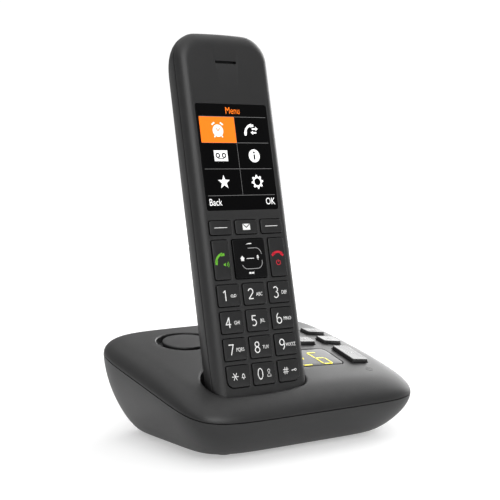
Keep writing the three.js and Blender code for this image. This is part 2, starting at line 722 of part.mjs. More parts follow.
function baseScrew(x, y) {
  const head = rod(SCREW.headRadius, SCREW.headFrom, SCREW.headTo, 18);
  const shank = rod(SCREW.shank, SCREW.headTo - 0.5, SCREW.tip, 10);
  const slot = block(-3, 3, -0.5, 0.5, 1, SCREW.headFrom + 0.8);
  return cut(unite(toSolid(head), toSolid(shank)), toSolid(slot)).translate([x, y, 0]);
}

// The plane of the control board, under the keys and the message counter.
const CONTROL = { x: 26.5, y: -4, drop: 9, halfWidth: 20, halfDepth: 21.5, thickness: 1.4 };

function controlFrame() {
  const frame = topFrame(CONTROL.x, CONTROL.y);
  return frame.multiply(new THREE.Matrix4().makeTranslation(0, 0, -CONTROL.drop));
}

function controlBoard() {
  const { halfWidth, halfDepth, thickness } = CONTROL;
  const board = prism(rectangle(-halfWidth, halfWidth, -halfDepth, halfDepth, 2), -thickness, 0);
  return toSolid(board.applyMatrix4(controlFrame()));
}

// Distance from a point on the top surface down its normal to the control board.
function stemLength(frame) {
  const board = controlFrame();
  const normal = new THREE.Vector3().setFromMatrixColumn(board, 2);
  const middle = new THREE.Vector3().setFromMatrixPosition(board);
  const plane = new THREE.Plane().setFromNormalAndCoplanarPoint(normal, middle);
  const start = new THREE.Vector3().setFromMatrixPosition(frame);
  const down = new THREE.Vector3().setFromMatrixColumn(frame, 2).negate();
  return new THREE.Ray(start, down).distanceToPlane(plane);
}

function baseKey([, x, y, width, depth]) {
  const { proud, depth: sunk, radius, stem } = BASE_KEY;
  const shape = rectangle(-width / 2, width / 2, -depth / 2, depth / 2, radius);
  const cap = toSolid(prism(shape, -sunk, proud));
  const reach = stemLength(topFrame(x, y)) - 1.6;
  return unite(cap, toSolid(block(-stem / 2, stem / 2, -stem / 2, stem / 2, -reach, -sunk + 0.5)));
}

function buildBase() {
  const group = new THREE.Group();
  const body = plastic(0x38393b, 0.5);
  const keyPlastic = plastic(0x4a4b4e, 0.4);
  const board = plastic(0x1f5a37, 0.6);
  const steel = metal(0xb8babd, 0.35);
  const gold = metal(0xd9b25a, 0.3);
  const rubber = plastic(0x1a1a1b, 0.9);
  const gloss = plastic(0x16171a, 0.12);
  const add = (name, solid, material, frame) => {
    const mesh = toMesh(name, solid, material);
    if (frame) mesh.applyMatrix4(frame);
    group.add(mesh);
  };
  add('base_top_cover', baseTopCover(), body);
  add('base_bottom_cover', baseBottomCover(), body);

  const speaker = topFrame(SPEAKER.x, SPEAKER.y);
  add('speaker_cover', toSolid(rod(SPEAKER.discRadius, -SPEAKER.depth + GAP, -0.1, 28)), body, speaker);
  const driver = speakerUnit(11, 7, 6.5, 3.4).rotateX(Math.PI / 2);
  driver.translate(0, 0, -SPEAKER.depth - SPEAKER.floor - 7 - GAP);
  add('base_loudspeaker', toSolid(driver), steel, speaker);

  const { x, y, width, depth, radius } = COUNTER;
  const counter = topFrame(x, y);
  const pane = rectangle(-width / 2, width / 2, -depth / 2, depth / 2, radius);
  add('counter_window', toSolid(prism(pane, -1.1, 0.1)), gloss, counter);
  const module = rectangle(-width / 2 + 1, width / 2 - 1, -depth / 2 + 1, depth / 2 - 1, 0.6);
  add('counter_module', toSolid(prism(module, -6, -1.5)), gloss, counter);
  add('control_board', controlBoard(), board);
  BASE_KEYS.forEach((key) => add(key[0], baseKey(key), keyPlastic, topFrame(key[1], key[2])));

  add('base_circuit_board', toSolid(prism(rectangle(-31, 31, -25, 24, 3), 5.4, 7)), board);
  Object.entries(SOCKETS).forEach(([name, size]) => add(name, socket(size), gloss));
  POSTS.forEach(([px, py], i) => add(`base_screw_${i ? 'right' : 'left'}`, baseScrew(px, py), steel));
  const foot = rod(FOOT.radius, 0, FOOT.height, 16);
  FEET.forEach(([name, px, py]) => add(name, toSolid(foot.clone().translate(px, py, 0)), rubber));

  [['cradle_contact_left', -CONTACT.x], ['cradle_contact_right', CONTACT.x]].forEach(([name, side]) => {
    const place = inHandsetFrame(cradleContact().translate(side, CONTACT.depth, 0));
    add(name, toSolid(place), gold);
  });
  return group;
}

// ---------------------------------------------------------------- the whole object

const phone = new THREE.Group();
phone.add(buildBase());
phone.add(buildHandset());
phone.updateMatrixWorld(true);
const middle = new THREE.Box3().setFromObject(phone, true).getCenter(new THREE.Vector3());
phone.position.set(-middle.x, -middle.y, 0);
phone.updateMatrixWorld(true);

export default phone;
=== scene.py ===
"""Cordless telephone in its answering-machine base: the finished look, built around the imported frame."""

import json
import math

import bpy
from bpy.props import FloatProperty, FloatVectorProperty, IntProperty, PointerProperty, StringProperty
from mathutils import Matrix, Vector

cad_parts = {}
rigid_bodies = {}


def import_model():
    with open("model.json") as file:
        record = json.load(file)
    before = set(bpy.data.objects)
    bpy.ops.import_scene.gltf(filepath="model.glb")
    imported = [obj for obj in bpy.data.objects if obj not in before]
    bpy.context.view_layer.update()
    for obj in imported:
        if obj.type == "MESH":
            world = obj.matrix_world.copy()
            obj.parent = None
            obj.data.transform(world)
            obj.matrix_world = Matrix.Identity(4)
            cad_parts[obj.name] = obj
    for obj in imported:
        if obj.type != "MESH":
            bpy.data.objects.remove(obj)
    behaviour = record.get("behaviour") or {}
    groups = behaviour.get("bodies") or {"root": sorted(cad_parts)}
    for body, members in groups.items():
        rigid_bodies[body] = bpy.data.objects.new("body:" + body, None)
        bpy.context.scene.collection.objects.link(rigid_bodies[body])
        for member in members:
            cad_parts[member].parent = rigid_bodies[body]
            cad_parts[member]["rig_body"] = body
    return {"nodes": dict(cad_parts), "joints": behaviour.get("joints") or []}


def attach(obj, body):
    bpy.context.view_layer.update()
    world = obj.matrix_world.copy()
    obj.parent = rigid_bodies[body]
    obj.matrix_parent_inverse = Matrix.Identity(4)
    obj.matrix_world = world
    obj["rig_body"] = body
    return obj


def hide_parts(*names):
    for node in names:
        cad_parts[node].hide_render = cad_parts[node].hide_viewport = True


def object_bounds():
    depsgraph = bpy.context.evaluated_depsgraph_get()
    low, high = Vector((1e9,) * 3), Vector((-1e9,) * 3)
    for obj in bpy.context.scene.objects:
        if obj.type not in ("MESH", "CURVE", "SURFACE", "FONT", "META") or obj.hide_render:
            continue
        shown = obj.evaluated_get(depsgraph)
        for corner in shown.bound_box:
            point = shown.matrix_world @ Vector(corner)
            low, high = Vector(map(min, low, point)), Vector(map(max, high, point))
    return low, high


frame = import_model()
CAD_BOX = [list(corner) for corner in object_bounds()]
MM = 0.001

bl_info = {
    "name": "Cordless Telephone",
    "version": (1, 0, 0),
    "blender": (4, 5, 0),
    "location": "3D View > Sidebar > Telephone",
    "description": "Builds a cordless telephone with its charging and answering base",
    "category": "Object",
}

# ------------------------------------------------------------------ the frame's own facts


def joint(name):
    return next(entry for entry in frame["joints"] if entry["name"] == name)


def body_of(node):
    return frame["nodes"][node]["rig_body"]


UP = Vector(joint("handset_lift")["axis"]).normalized()  # along the handset, out of the cradle
BACK = Vector((0, UP.z, -UP.y))  # through the handset, away from its keypad
LID_PIVOT = Vector(joint("battery_cover_swing")["pos_m"]) / MM
HALF_WIDTH = CAD_BOX[1][0] / MM
HALF_DEPTH = CAD_BOX[1][1] / MM
THICKNESS = 19.5  # of the handset, which is also the depth of the battery cover's hinge line
LID = {"start": 21.9, "end": 70.1, "depth": 11.6, "gap": 0.3}
FOOT = LID_PIVOT - THICKNESS * BACK - LID["start"] * UP  # the lower end of the handset's front face
FACE = Matrix((
    (1, 0, 0, FOOT.x),
    (0, UP.y, -BACK.y, FOOT.y),
    (0, UP.z, -BACK.z, FOOT.z),
    (0, 0, 0, 1),
))  # across, along and out of the handset's front face

# ------------------------------------------------------------------ settings


def size_in_mm(name, description, millimetres):
    return FloatProperty(
        name=name, description=description, default=millimetres * MM, unit="LENGTH", precision=5, min=0,
    )


class HandsetSizes(bpy.types.PropertyGroup):
    """Sizes of the handset."""

    half_width: size_in_mm("Half width", "Half the handset's width", 22.3)
    length: size_in_mm("Length", "Overall length of the handset", 156.3)
    thickness: size_in_mm("Thickness", "From the front face to the back", THICKNESS)
    seam: size_in_mm("Seam depth", "Depth of the joint between the two covers", 4.2)
    seam_gap: size_in_mm("Seam gap", "Width of the joint", 0.35)
    wall: size_in_mm("Wall", "Thickness of the covers", 1.6)
    front_fillet: size_in_mm("Front edge", "Rounding of the front edges", 4.1)
    rear_radius: size_in_mm("Rear edge", "Rounding of the rear edges", 14.2)
    top_radius: size_in_mm("Top corners", "Corner radius at the top", 10.5)
    bottom_radius: size_in_mm("Bottom corners", "Corner radius at the bottom", 8.0)
    crown: size_in_mm("Top bow", "How far the top end is bowed", 0.95)
    key_height: size_in_mm("Key height", "How far the keys stand proud", 0.4)


class BaseSizes(bpy.types.PropertyGroup):
    """Sizes of the base."""

    seam_height: size_in_mm("Seam height", "Joint of the two shells, at the middle", 26.4)
    seam_slope: FloatProperty(name="Seam slope", description="Rise of the joint to the rear", default=0.2154)
    seam_gap: size_in_mm("Seam gap", "Width of the joint", 0.4)
    wall: size_in_mm("Wall", "Thickness of the shells", 2.0)
    edge_rise: size_in_mm("Edge rise", "Rise of the rounded rim", 6.75)
    crown: size_in_mm("Crown", "Rise of the middle above the rim", 5.2)
    bottom_half_width: size_in_mm("Bottom half width", "Half width of the flat bottom", 44.3)
    bottom_half_depth: size_in_mm("Bottom half depth", "Half depth of the flat bottom", 33.4)
    bottom_height: size_in_mm("Bottom height", "Height of the flat bottom", 1.6)
    key_height: size_in_mm("Key height", "How far the keys stand proud", 1.4)
    points: IntProperty(name="Outline points", description="Points round each outline", default=168, min=32)


def colour(name, description, value):
    return FloatVectorProperty(
        name=name, description=description, default=value, size=3, subtype="COLOR", min=0, max=1,
    )


class PhoneFinish(bpy.types.PropertyGroup):
    """Colours of the finishes."""

    body: colour("Body", "Moulded covers of handset and base", (0.0125, 0.0125, 0.0128))
    keys: colour("Keys", "Keys of the handset", (0.009, 0.009, 0.0093))
    base_keys: colour("Base keys", "Keys of the base", (0.02, 0.02, 0.0205))
    ink: colour("Legends", "Printed figures and signs", (0.86, 0.86, 0.85))
    accent: colour("Accent", "Chosen field of the screen", (0.9, 0.17, 0.002))
    talk: colour("Talk", "Sign on the talk key", (0.13, 0.42, 0.03))
    end: colour("End", "Sign on the end key", (0.55, 0.012, 0.03))
    counter: colour("Counter", "Lit strokes of the message counter", (0.8, 0.7, 0.01))
    title: StringProperty(name="Title", description="Word at the top of the screen", default="Menu")
    count: StringProperty(name="Count", description="Two figures on the message counter", default="26")


class Millimetres:
    """Reads a group of settings with its lengths in millimetres."""

    def __init__(self, group):
        self.group = group

    def __getattr__(self, name):
        value = getattr(self.group, name)
        return value / MM if self.group.bl_rna.properties[name].unit == "LENGTH" else value


def handset():
    return Millimetres(bpy.context.scene.phone_handset)


def base():
    return Millimetres(bpy.context.scene.phone_base)


def finish():
    return bpy.context.scene.phone_finish


# ------------------------------------------------------------------ surface effects shared by the materials


def effect(name, inputs, outputs, build):
    """A node group with the named inputs (name, default) and outputs (name, socket type)."""
    group = bpy.data.node_groups.get(name)
    if group:
        return group
    group = bpy.data.node_groups.new(name, "ShaderNodeTree")
    for label, kind, default in inputs:
        socket = group.interface.new_socket(label, in_out="INPUT", socket_type=kind)
        socket.default_value = default
    for label, kind in outputs:
        group.interface.new_socket(label, in_out="OUTPUT", socket_type=kind)
    entry = group.nodes.new("NodeGroupInput")
    leave = group.nodes.new("NodeGroupOutput")
    build(group, entry, leave)
    return group


def add_node(tree, kind, settings=None, **values):
    node = tree.nodes.new(kind)
    for key, value in (settings or {}).items():
        setattr(node, key, value)
    for key, value in values.items():
        node.inputs[key.replace("_", " ")].default_value = value
    return node


def moulded_grain():
    """Height of a spark-eroded mould's fine grain, with a slower waviness under it."""

    def build(group, entry, leave):
        place = add_node(group, "ShaderNodeTexCoord")
        fine = add_node(group, "ShaderNodeTexNoise", Detail=3.0, Roughness=0.65)
        cells = add_node(group, "ShaderNodeTexVoronoi")
        slow = add_node(group, "ShaderNodeTexNoise", Scale=55.0, Detail=2.0)
        half = add_node(group, "ShaderNodeMath", {"operation": "MULTIPLY"})
        half.inputs[1].default_value = 0.6
        first = add_node(group, "ShaderNodeMath", {"operation": "MULTIPLY_ADD"})
        first.inputs[1].default_value = 0.5
        wave = add_node(group, "ShaderNodeMath", {"operation": "MULTIPLY_ADD"})
        for node in (fine, cells, slow):
            group.links.new(place.outputs["Object"], node.inputs["Vector"])
        group.links.new(entry.outputs["Scale"], fine.inputs["Scale"])
        group.links.new(entry.outputs["Scale"], half.inputs[0])
        group.links.new(half.outputs[0], cells.inputs["Scale"])
        group.links.new(cells.outputs["Distance"], first.inputs[0])
        group.links.new(fine.outputs["Fac"], first.inputs[2])
        group.links.new(slow.outputs["Fac"], wave.inputs[0])
        group.links.new(entry.outputs["Waviness"], wave.inputs[1])
        group.links.new(first.outputs[0], wave.inputs[2])
        group.links.new(wave.outputs[0], leave.inputs["Height"])

    return effect(
        "Moulded grain",
        [("Scale", "NodeSocketFloat", 3800.0), ("Waviness", "NodeSocketFloat", 2.0)],
        [("Height", "NodeSocketFloat")],
        build,
    )


def drifting_value():
    """A roughness that drifts a little over the surface, as handling leaves it."""

    def build(group, entry, leave):
        place = add_node(group, "ShaderNodeTexCoord")
        cloud = add_node(group, "ShaderNodeTexNoise", Detail=4.0, Roughness=0.6)
        centre = add_node(group, "ShaderNodeMath", {"operation": "SUBTRACT"})
        centre.inputs[1].default_value = 0.5
        spread = add_node(group, "ShaderNodeMath", {"operation": "MULTIPLY_ADD"})
        group.links.new(place.outputs["Object"], cloud.inputs["Vector"])
        group.links.new(entry.outputs["Scale"], cloud.inputs["Scale"])
        group.links.new(cloud.outputs["Fac"], centre.inputs[0])
        group.links.new(centre.outputs[0], spread.inputs[0])
        group.links.new(entry.outputs["Spread"], spread.inputs[1])
        group.links.new(entry.outputs["Middle"], spread.inputs[2])
        group.links.new(spread.outputs[0], leave.inputs["Value"])

    return effect(
        "Drifting value",
        [
            ("Middle", "NodeSocketFloat", 0.5),
            ("Spread", "NodeSocketFloat", 0.1),
            ("Scale", "NodeSocketFloat", 60.0),
        ],
        [("Value", "NodeSocketFloat")],
        build,
    )


def light_dust():
    """The colour with a thin, patchy film of dust where the surface faces up."""

    def build(group, entry, leave):
        place = add_node(group, "ShaderNodeTexCoord")
        facing = add_node(group, "ShaderNodeNewGeometry")
        split = add_node(group, "ShaderNodeSeparateXYZ")
        patch = add_node(group, "ShaderNodeTexNoise", Scale=240.0, Detail=5.0, Roughness=0.7)
        limit = add_node(group, "ShaderNodeMapRange", From_Min=0.35, From_Max=0.75)
        lift = add_node(group, "ShaderNodeMath", {"operation": "MULTIPLY", "use_clamp": True})
        share = add_node(group, "ShaderNodeMath", {"operation": "MULTIPLY", "use_clamp": True})
        blend = add_node(group, "ShaderNodeMix", {"data_type": "RGBA"})
        group.links.new(place.outputs["Object"], patch.inputs["Vector"])
        group.links.new(facing.outputs["Normal"], split.inputs[0])
        group.links.new(patch.outputs["Fac"], limit.inputs["Value"])
        group.links.new(limit.outputs[0], lift.inputs[0])
        group.links.new(split.outputs["Z"], lift.inputs[1])
        group.links.new(lift.outputs[0], share.inputs[0])
        group.links.new(entry.outputs["Amount"], share.inputs[1])
        group.links.new(share.outputs[0], blend.inputs["Factor"])
        for socket in blend.inputs:
            if socket.name in ("A", "B") and socket.type == "RGBA":
                source = entry.outputs["Colour" if socket.name == "A" else "Dust"]
                group.links.new(source, socket)
        result = next(socket for socket in blend.outputs if socket.type == "RGBA")
        group.links.new(result, leave.inputs["Colour"])

    return effect(
        "Light dust",
        [
            ("Colour", "NodeSocketColor", (0.03, 0.03, 0.03, 1)),
            ("Dust", "NodeSocketColor", (0.25, 0.24, 0.23, 1)),
            ("Amount", "NodeSocketFloat", 0.05),
        ],
        [("Colour", "NodeSocketColor")],
        build,
    )


def material(name, tone, roughness, grain=0.0, scale=3800.0, spread=0.08, dust=0.0, **sockets):
    """A finish: Principled shader with moulded grain, drifting roughness and light dust."""
    made = bpy.data.materials.get(name)
    if made:
        return made
    made = bpy.data.materials.new(name)
    made.use_nodes = True
    tree = made.node_tree
    shader = tree.nodes["Principled BSDF"]
    rgba = (*tone, 1)
    shader.inputs["Base Color"].default_value = rgba
    shader.inputs["Roughness"].default_value = roughness
    for key, value in sockets.items():
        shader.inputs[key.replace("_", " ")].default_value = value
    drift = add_node(tree, "ShaderNodeGroup", {"node_tree": drifting_value()})
    drift.inputs["Middle"].default_value = roughness
    drift.inputs["Spread"].default_value = spread
    tree.links.new(drift.outputs["Value"], shader.inputs["Roughness"])
    if dust:
        film = add_node(tree, "ShaderNodeGroup", {"node_tree": light_dust()}, Colour=rgba, Amount=dust)
        tree.links.new(film.outputs["Colour"], shader.inputs["Base Color"])
    if grain:
        height = add_node(tree, "ShaderNodeGroup", {"node_tree": moulded_grain()}, Scale=scale)
        bump = add_node(tree, "ShaderNodeBump", Strength=grain, Distance=0.00004)
        tree.links.new(height.outputs["Height"], bump.inputs["Height"])
        tree.links.new(bump.outputs["Normal"], shader.inputs["Normal"])
    return made


def body_plastic():
    return material("anthracite_body", finish().body, 0.43, grain=0.35, dust=0.03)


# Near-black finish for the unlit inside behind the earpiece slot: painted shade, not the plastic's own
# colour.
def shadow_plastic():
    return material("unlit_inside", (0.008, 0.008, 0.008), 0.8, grain=0.2)


def key_plastic():
    return material("keypad_keys", finish().keys, 0.36, grain=0.2, scale=5200.0)


def base_key_plastic():
    return material("base_keys", finish().base_keys, 0.27, grain=0.1, scale=5200.0)


def gloss_black():
    return material("polished_black", (0.004, 0.004, 0.0044), 0.16, spread=0.03, Specular_IOR_Level=0.18)


def screen_black():
    return material("screen_pane", (0.002, 0.002, 0.0022), 0.16, spread=0.03, Specular_IOR_Level=0.07)


def smoked_pane():
    return material("smoked_pane", (0.012, 0.012, 0.011), 0.3, spread=0.04, Specular_IOR_Level=0.4)


def ink():
    return material("printed_legend", finish().ink, 0.5, grain=0.1)


def lit(name, tone, strength):
    return material(name, tone, 0.3, Emission_Color=(*tone, 1), Emission_Strength=strength)


def socket_moulding():
    return material("socket_moulding", (0.015, 0.015, 0.016), 0.4, grain=0.25)


def soft_rubber():
    return material("foot_rubber", (0.012, 0.012, 0.012), 0.75, grain=0.6, scale=2200.0)


def plated_contact():
    return material("plated_contact", (0.83, 0.6, 0.25), 0.25, grain=0.1, Metallic=1.0)


def plain_steel():
    return material("plain_steel", (0.5, 0.5, 0.51), 0.32, grain=0.15, scale=6000.0, Metallic=1.0)


def green_board():
    return material("circuit_board", (0.012, 0.1, 0.035), 0.35, grain=0.5, scale=900.0, Coat_Weight=0.2)


def grey_silicone():
    return material("keypad_silicone", (0.2, 0.2, 0.21), 0.6, grain=0.3)


# ------------------------------------------------------------------ modelling helpers


def deselect():
    bpy.ops.object.select_all(action="DESELECT")


def only(piece):
    deselect()
    piece.select_set(True)
    bpy.context.view_layer.objects.active = piece


def loft(name, rings, cap_start=True, cap_end=True):
    """A grid primitive bent into a skin through rings of equally many points, in millimetres, and closed."""
    count = len(rings[0])
    rows = list(rings)
    if cap_start:
        rows.insert(0, [sum(rings[0], Vector()) / count] * count)
    if cap_end:
        rows.append([sum(rings[-1], Vector()) / count] * count)
    deselect()
    bpy.ops.mesh.primitive_grid_add(x_subdivisions=count, y_subdivisions=len(rows) - 1, size=1)
    piece = bpy.context.active_object
    piece.name = piece.data.name = name
    for vertex in piece.data.vertices:
        i = round((vertex.co.x + 0.5) * count) % count
        j = round((vertex.co.y + 0.5) * (len(rows) - 1))
        vertex.co = rows[j][i]
    bpy.ops.object.mode_set(mode="EDIT")
    bpy.ops.mesh.select_all(action="SELECT")
    bpy.ops.mesh.remove_doubles(threshold=0.001)
    bpy.ops.mesh.normals_make_consistent(inside=False)
    bpy.ops.object.mode_set(mode="OBJECT")
    return piece


def box_outline(half_x, half_y, radii, steps=6, centre=(0, 0)):
    """A rectangle's outline; its corner radii run right top, left top, left bottom, right bottom."""
    radii = radii if isinstance(radii, (list, tuple)) else [radii] * 4

    def ring(inset, height):
        points = []
        for corner, (sx, sy) in enumerate(((1, 1), (-1, 1), (-1, -1), (1, -1))):
            radius = max(radii[corner] - inset, 0.02)
            for step in range(steps + 1):
                angle = (corner + step / steps) * math.pi / 2
                points.append(Vector((
                    centre[0] + sx * (half_x - inset - radius) + radius * math.cos(angle),
                    centre[1] + sy * (half_y - inset - radius) + radius * math.sin(angle),
                    height,
                )))
        return points

    return ring


def round_outline(radius, points=64, centre=(0, 0)):
    def ring(inset, height):
        reach = radius - inset
        turns = [2 * math.pi * i / points for i in range(points)]
        return [
            Vector((centre[0] + reach * math.cos(turn), centre[1] + reach * math.sin(turn), height))
            for turn in turns
        ]

    return ring


def fillet(inset, height, radius, steps=4):
    """(inset, height) pairs of a rounded upper edge that starts on the side wall and ends on the flat."""
    angles = [step / steps * math.pi / 2 for step in range(steps + 1)]
    return [
        (inset + radius * (1 - math.cos(angle)), height - radius * (1 - math.sin(angle))) for angle in angles
    ]


def prism(name, outline, profile):
    """A piece with one outline all the way up, drawn in by the profile's (inset, height) pairs."""
    return loft(name, [outline(inset, height) for inset, height in profile])


def place(piece, matrix):
    piece.data.transform(matrix)
    return piece


def to_metres(piece):
    piece.data.transform(Matrix.Scale(MM, 4))
    return piece


def join(name, pieces):
    deselect()
    for piece in pieces:
        piece.select_set(True)
    bpy.context.view_layer.objects.active = pieces[0]
    bpy.ops.object.join()
    pieces[0].name = pieces[0].data.name = name
    return pieces[0]


def copy_of(piece, name):
    only(piece)
    bpy.ops.object.duplicate()
    twin = bpy.context.active_object
    twin.name = twin.data.name = name
    return twin


def carve(piece, cutters, operation="DIFFERENCE"):
    """Applies one exact boolean with all the cutters joined, and removes them."""
    cutter = join("cutter", cutters) if len(cutters) > 1 else cutters[0]
    only(piece)
    bpy.ops.object.modifier_add(type="BOOLEAN")
    modifier = piece.modifiers[-1]
    modifier.operation = operation
    modifier.solver = "EXACT"
    modifier.object = cutter
    bpy.ops.object.modifier_apply(modifier=modifier.name)
    bpy.data.objects.remove(cutter)
    return piece


def smooth(piece, angle=32):
    only(piece)
    bpy.ops.object.shade_smooth_by_angle(angle=math.radians(angle))
    return piece


def dress(piece, finish_material, node=None, body=None, angle=32):
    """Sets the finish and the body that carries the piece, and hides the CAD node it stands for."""
    if finish_material and not piece.data.materials:
        piece.data.materials.append(finish_material)
    to_metres(piece)
    smooth(piece, angle)
    if "UVMap" in piece.data.uv_layers:
        piece.data.uv_layers.remove(piece.data.uv_layers["UVMap"])
    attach(piece, body or body_of(node))
    if node:
        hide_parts(node)
    return piece


def coat(node, finish_material):
    """Gives a CAD node that stays in view its finish."""
    target = frame["nodes"][node]
    target.data.materials.clear()
    target.data.materials.append(finish_material)


# ------------------------------------------------------------------ flat signs and figures


def arc(x, y, radius, start, end, steps=12, squash=1.0):
    angles = [math.radians(start + (end - start) * i / steps) for i in range(steps + 1)]
    return [(x + radius * math.cos(a), y + squash * radius * math.sin(a)) for a in angles]


def disc(x, y, radius, steps=20):
    return arc(x, y, radius, 0, 360, steps)[:-1]


def line(points, width):
    """The outline of a line of that width through the points, with mitred corners."""
    path = [Vector(point) for point in points]
    sides = []
    for start, end in zip(path, path[1:]):
        along = (end - start).normalized()
        sides.append(Vector((-along.y, along.x)))
    left, right = [], []
    for i, point in enumerate(path):
        before, after = sides[max(i - 1, 0)], sides[min(i, len(sides) - 1)]
        mitre = (before + after) / max(1 + before.dot(after), 0.3) * width / 2
        left.append(tuple(point + mitre))
        right.append(tuple(point - mitre))
    return left + right[::-1]


def rect(x0, x1, y0, y1):
    return [(x0, y0), (x1, y0), (x1, y1), (x0, y1)]


def turned(loop, degrees, x=0.0, y=0.0):
    c, s = math.cos(math.radians(degrees)), math.sin(math.radians(degrees))
    return [(x + c * (px - x) - s * (py - y), y + s * (px - x) + c * (py - y)) for px, py in loop]


def sign(name, groups, thickness, finish_material, shift=(0, 0), size=1.0, height=0.0):
    """Thin plates: each group is a list of loops, of which inner ones are holes."""
    made = []
    for loops in groups:
        curve = bpy.data.curves.new(name, "CURVE")
        curve.dimensions = "2D"
        curve.fill_mode = "BOTH"
        curve.extrude = thickness / 2
        for loop in loops:
            spline = curve.splines.new("POLY")
            spline.points.add(len(loop) - 1)
            for point, (x, y) in zip(spline.points, loop):
                point.co = (x * size + shift[0], y * size + shift[1], 0, 1)
            spline.use_cyclic_u = True
        piece = bpy.data.objects.new(name, curve)
        bpy.context.scene.collection.objects.link(piece)
        only(piece)
        bpy.ops.object.convert(target="MESH")
        made.append(bpy.context.active_object)
    piece = join(name, made) if len(made) > 1 else made[0]
    piece.data.transform(Matrix.Translation((0, 0, height + thickness / 2)))
    piece.data.materials.clear()
    piece.data.materials.append(finish_material)
    return piece


def words(name, text, height_mm, finish_material, shift, thickness=0.05, align="CENTER", narrow=0.8):
    """Text as a thin plate, its capitals height_mm tall."""
    deselect()
    bpy.ops.object.text_add()
    piece = bpy.context.active_object
    piece.name = name
    piece.data.body = text
    piece.data.size = height_mm / 0.72
    piece.data.align_x = align
    piece.data.align_y = "CENTER"
    piece.data.extrude = thickness / 2
    piece.data.resolution_u = 3
    bpy.ops.object.convert(target="MESH")
    piece = bpy.context.active_object
    piece.data.transform(Matrix.Diagonal((narrow, 1, 1, 1)))
    piece.data.transform(Matrix.Translation((*shift, thickness / 2)))
    piece.data.materials.clear()
    piece.data.materials.append(finish_material)
    return piece


def receiver(width=0.5):
    """A telephone receiver, standing on its left end."""
    back = line(arc(1.7, -1.9, 3.5, 102, 172, 12), width)
    ear = turned(rect(0.3, 1.75, 0.75, 1.55), 8, 1.0, 1.2)
    mouth = turned(rect(-1.95, -1.15, -2.0, -0.6), -14, -1.5, -1.3)
    return [[back], [ear], [mouth]]


def figure(digit, half=2.1, width=0.4):
    """A figure of even, thin strokes: loops for sign()."""
    bowl = half / 2 + 0.05
    wide = 1.12
    bar = half - width / 2
    strokes = {
        "0": [arc(0, 0, wide, 0, 360, 28, half / wide)],
        "1": [[(0.25, -half), (0.25, half)], [(0.3, half - 0.1), (-0.7, half - 0.8)]],
        "2": [arc(0, half - wide, wide, 165, -38, 14) + [(-1.0, -half + 0.3)], [(-1.15, -bar), (1.15, -bar)]],
        "3": [
            arc(-0.05, bowl, 1.0, 150, -90, 14, bowl / 1.05),
            arc(-0.05, -bowl, 1.1, 90, -150, 14, bowl / 1.05),
        ],
        "4": [
            [(0.5, -half), (0.5, half)], [(0.45, half - 0.1), (-1.1, -0.7)], [(-1.3, -0.75), (1.25, -0.75)],
        ],
        "5": [
            [(1.0, bar), (-0.9, bar)], [(-0.72, half - 0.1), (-0.85, 0.2)],
            arc(-0.15, -half + 1.25, 1.2, 128, -130, 16),
        ],
        "6": [arc(0.05, -half + 1.2, 1.12, 0, 360, 24, 1.05), arc(1.15, 0.3, 2.2, 128, 205, 10)],
        "7": [[(-1.15, bar), (1.05, bar), (-0.3, -half)]],
        "8": [arc(0, bowl, 0.95, 0, 360, 22, 1.0), arc(0, -bowl, 1.1, 0, 360, 22, bowl / 1.12)],
        "9": [arc(-0.05, half - 1.2, 1.12, 0, 360, 24, 1.05), arc(-1.15, -0.3, 2.2, -52, 25, 10)],
    }[digit]
    groups = []
    for path in strokes:
        points = [Vector(point) for point in path]
        if (points[0] - points[-1]).length < 1e-4:
            points.pop()
            middle = sum(points, Vector((0, 0))) / len(points)
            groups.append([
                [tuple(point + side * (point - middle).normalized() * width / 2) for point in points]
                for side in (1, -1)
            ])
        else:
            groups.append([line(path, width)])
    return groups


# ------------------------------------------------------------------ base shapes


RIM = {"power": 6.5, "radius": 8.5, "front_radius": 15.0, "crown_power": 1.3, "bottom_power": 5.7}
SPEAKER = {"x": -26.0, "y": 16.8, "recess": 12.5, "disc": 9.9, "depth": 3.0, "seat": 14.1}
COUNTER = {"x": 17.2, "y": -16.7, "half_x": 11.8, "half_y": 7.45, "radius": 2.2}
KEY_GAP = 0.3  # round each key, window and cover
BASE_KEYS = (  # name, middle across and to the rear, half sizes
    ("volume_down_key", 9.6, 13.2, 4.7, 3.4), ("volume_up_key", 24.3, 13.2, 4.7, 3.4),
    ("answer_on_key", 40.3, 13.2, 5.1, 3.4), ("delete_key", 9.6, -1, 4.7, 3.4),
    ("skip_back_key", 24.3, -1, 4.7, 3.4), ("skip_forward_key", 39.7, 0.6, 5.1, 3.6),
    ("play_stop_key", 38.2, -16.3, 4.5, 8),
)
# Where the rings of the top cover's outer and inner skins lie, inwards from the rim.
OUTER_INSETS = [
    0.0, 0.04, 0.15, 0.35, 0.65, 1.1, 1.7, 2.4, 3.2, 4.2, 5.4, 6.8, 8.4, 10.2, 12.2, 14.5, 17.5, 21.0,
    25.0, 29.0, 33.0, 37.0, 41.0, 44.5, 47.5, 49.8,
]
INNER_INSETS = [0.0, 1.5, 3.5, 6.0, 9.5, 14.0, 20.0, 28.0, 38.0, 47.0]
POCKET = {"half": 23.1, "front": 2.4, "rear": 20.4, "floor": -0.8, "front_radius": 7.0, "rear_radius": 14.0}


def seam_at(y):
    return base().seam_height + base().seam_slope * y


def top_at(x, y):
    """Height of the domed top."""
    fx, fy = abs(x / HALF_WIDTH), abs(y / HALF_DEPTH)
    reach = (fx ** RIM["power"] + fy ** RIM["power"]) ** (1 / RIM["power"])
    inward = max(1 - reach, 0) * (HALF_WIDTH + HALF_DEPTH) / 2
    front = min(max(-y / HALF_DEPTH, 0), 1) ** 2
    radius = RIM["radius"] + (RIM["front_radius"] - RIM["radius"]) * front
    rim = math.sqrt(1 - (1 - min(inward / radius, 1)) ** 2)
    swell = (1 - fx ** 2) * max(1 - fy ** 2, 0) ** RIM["crown_power"]
    return seam_at(y) + base().edge_rise * rim + base().crown * swell


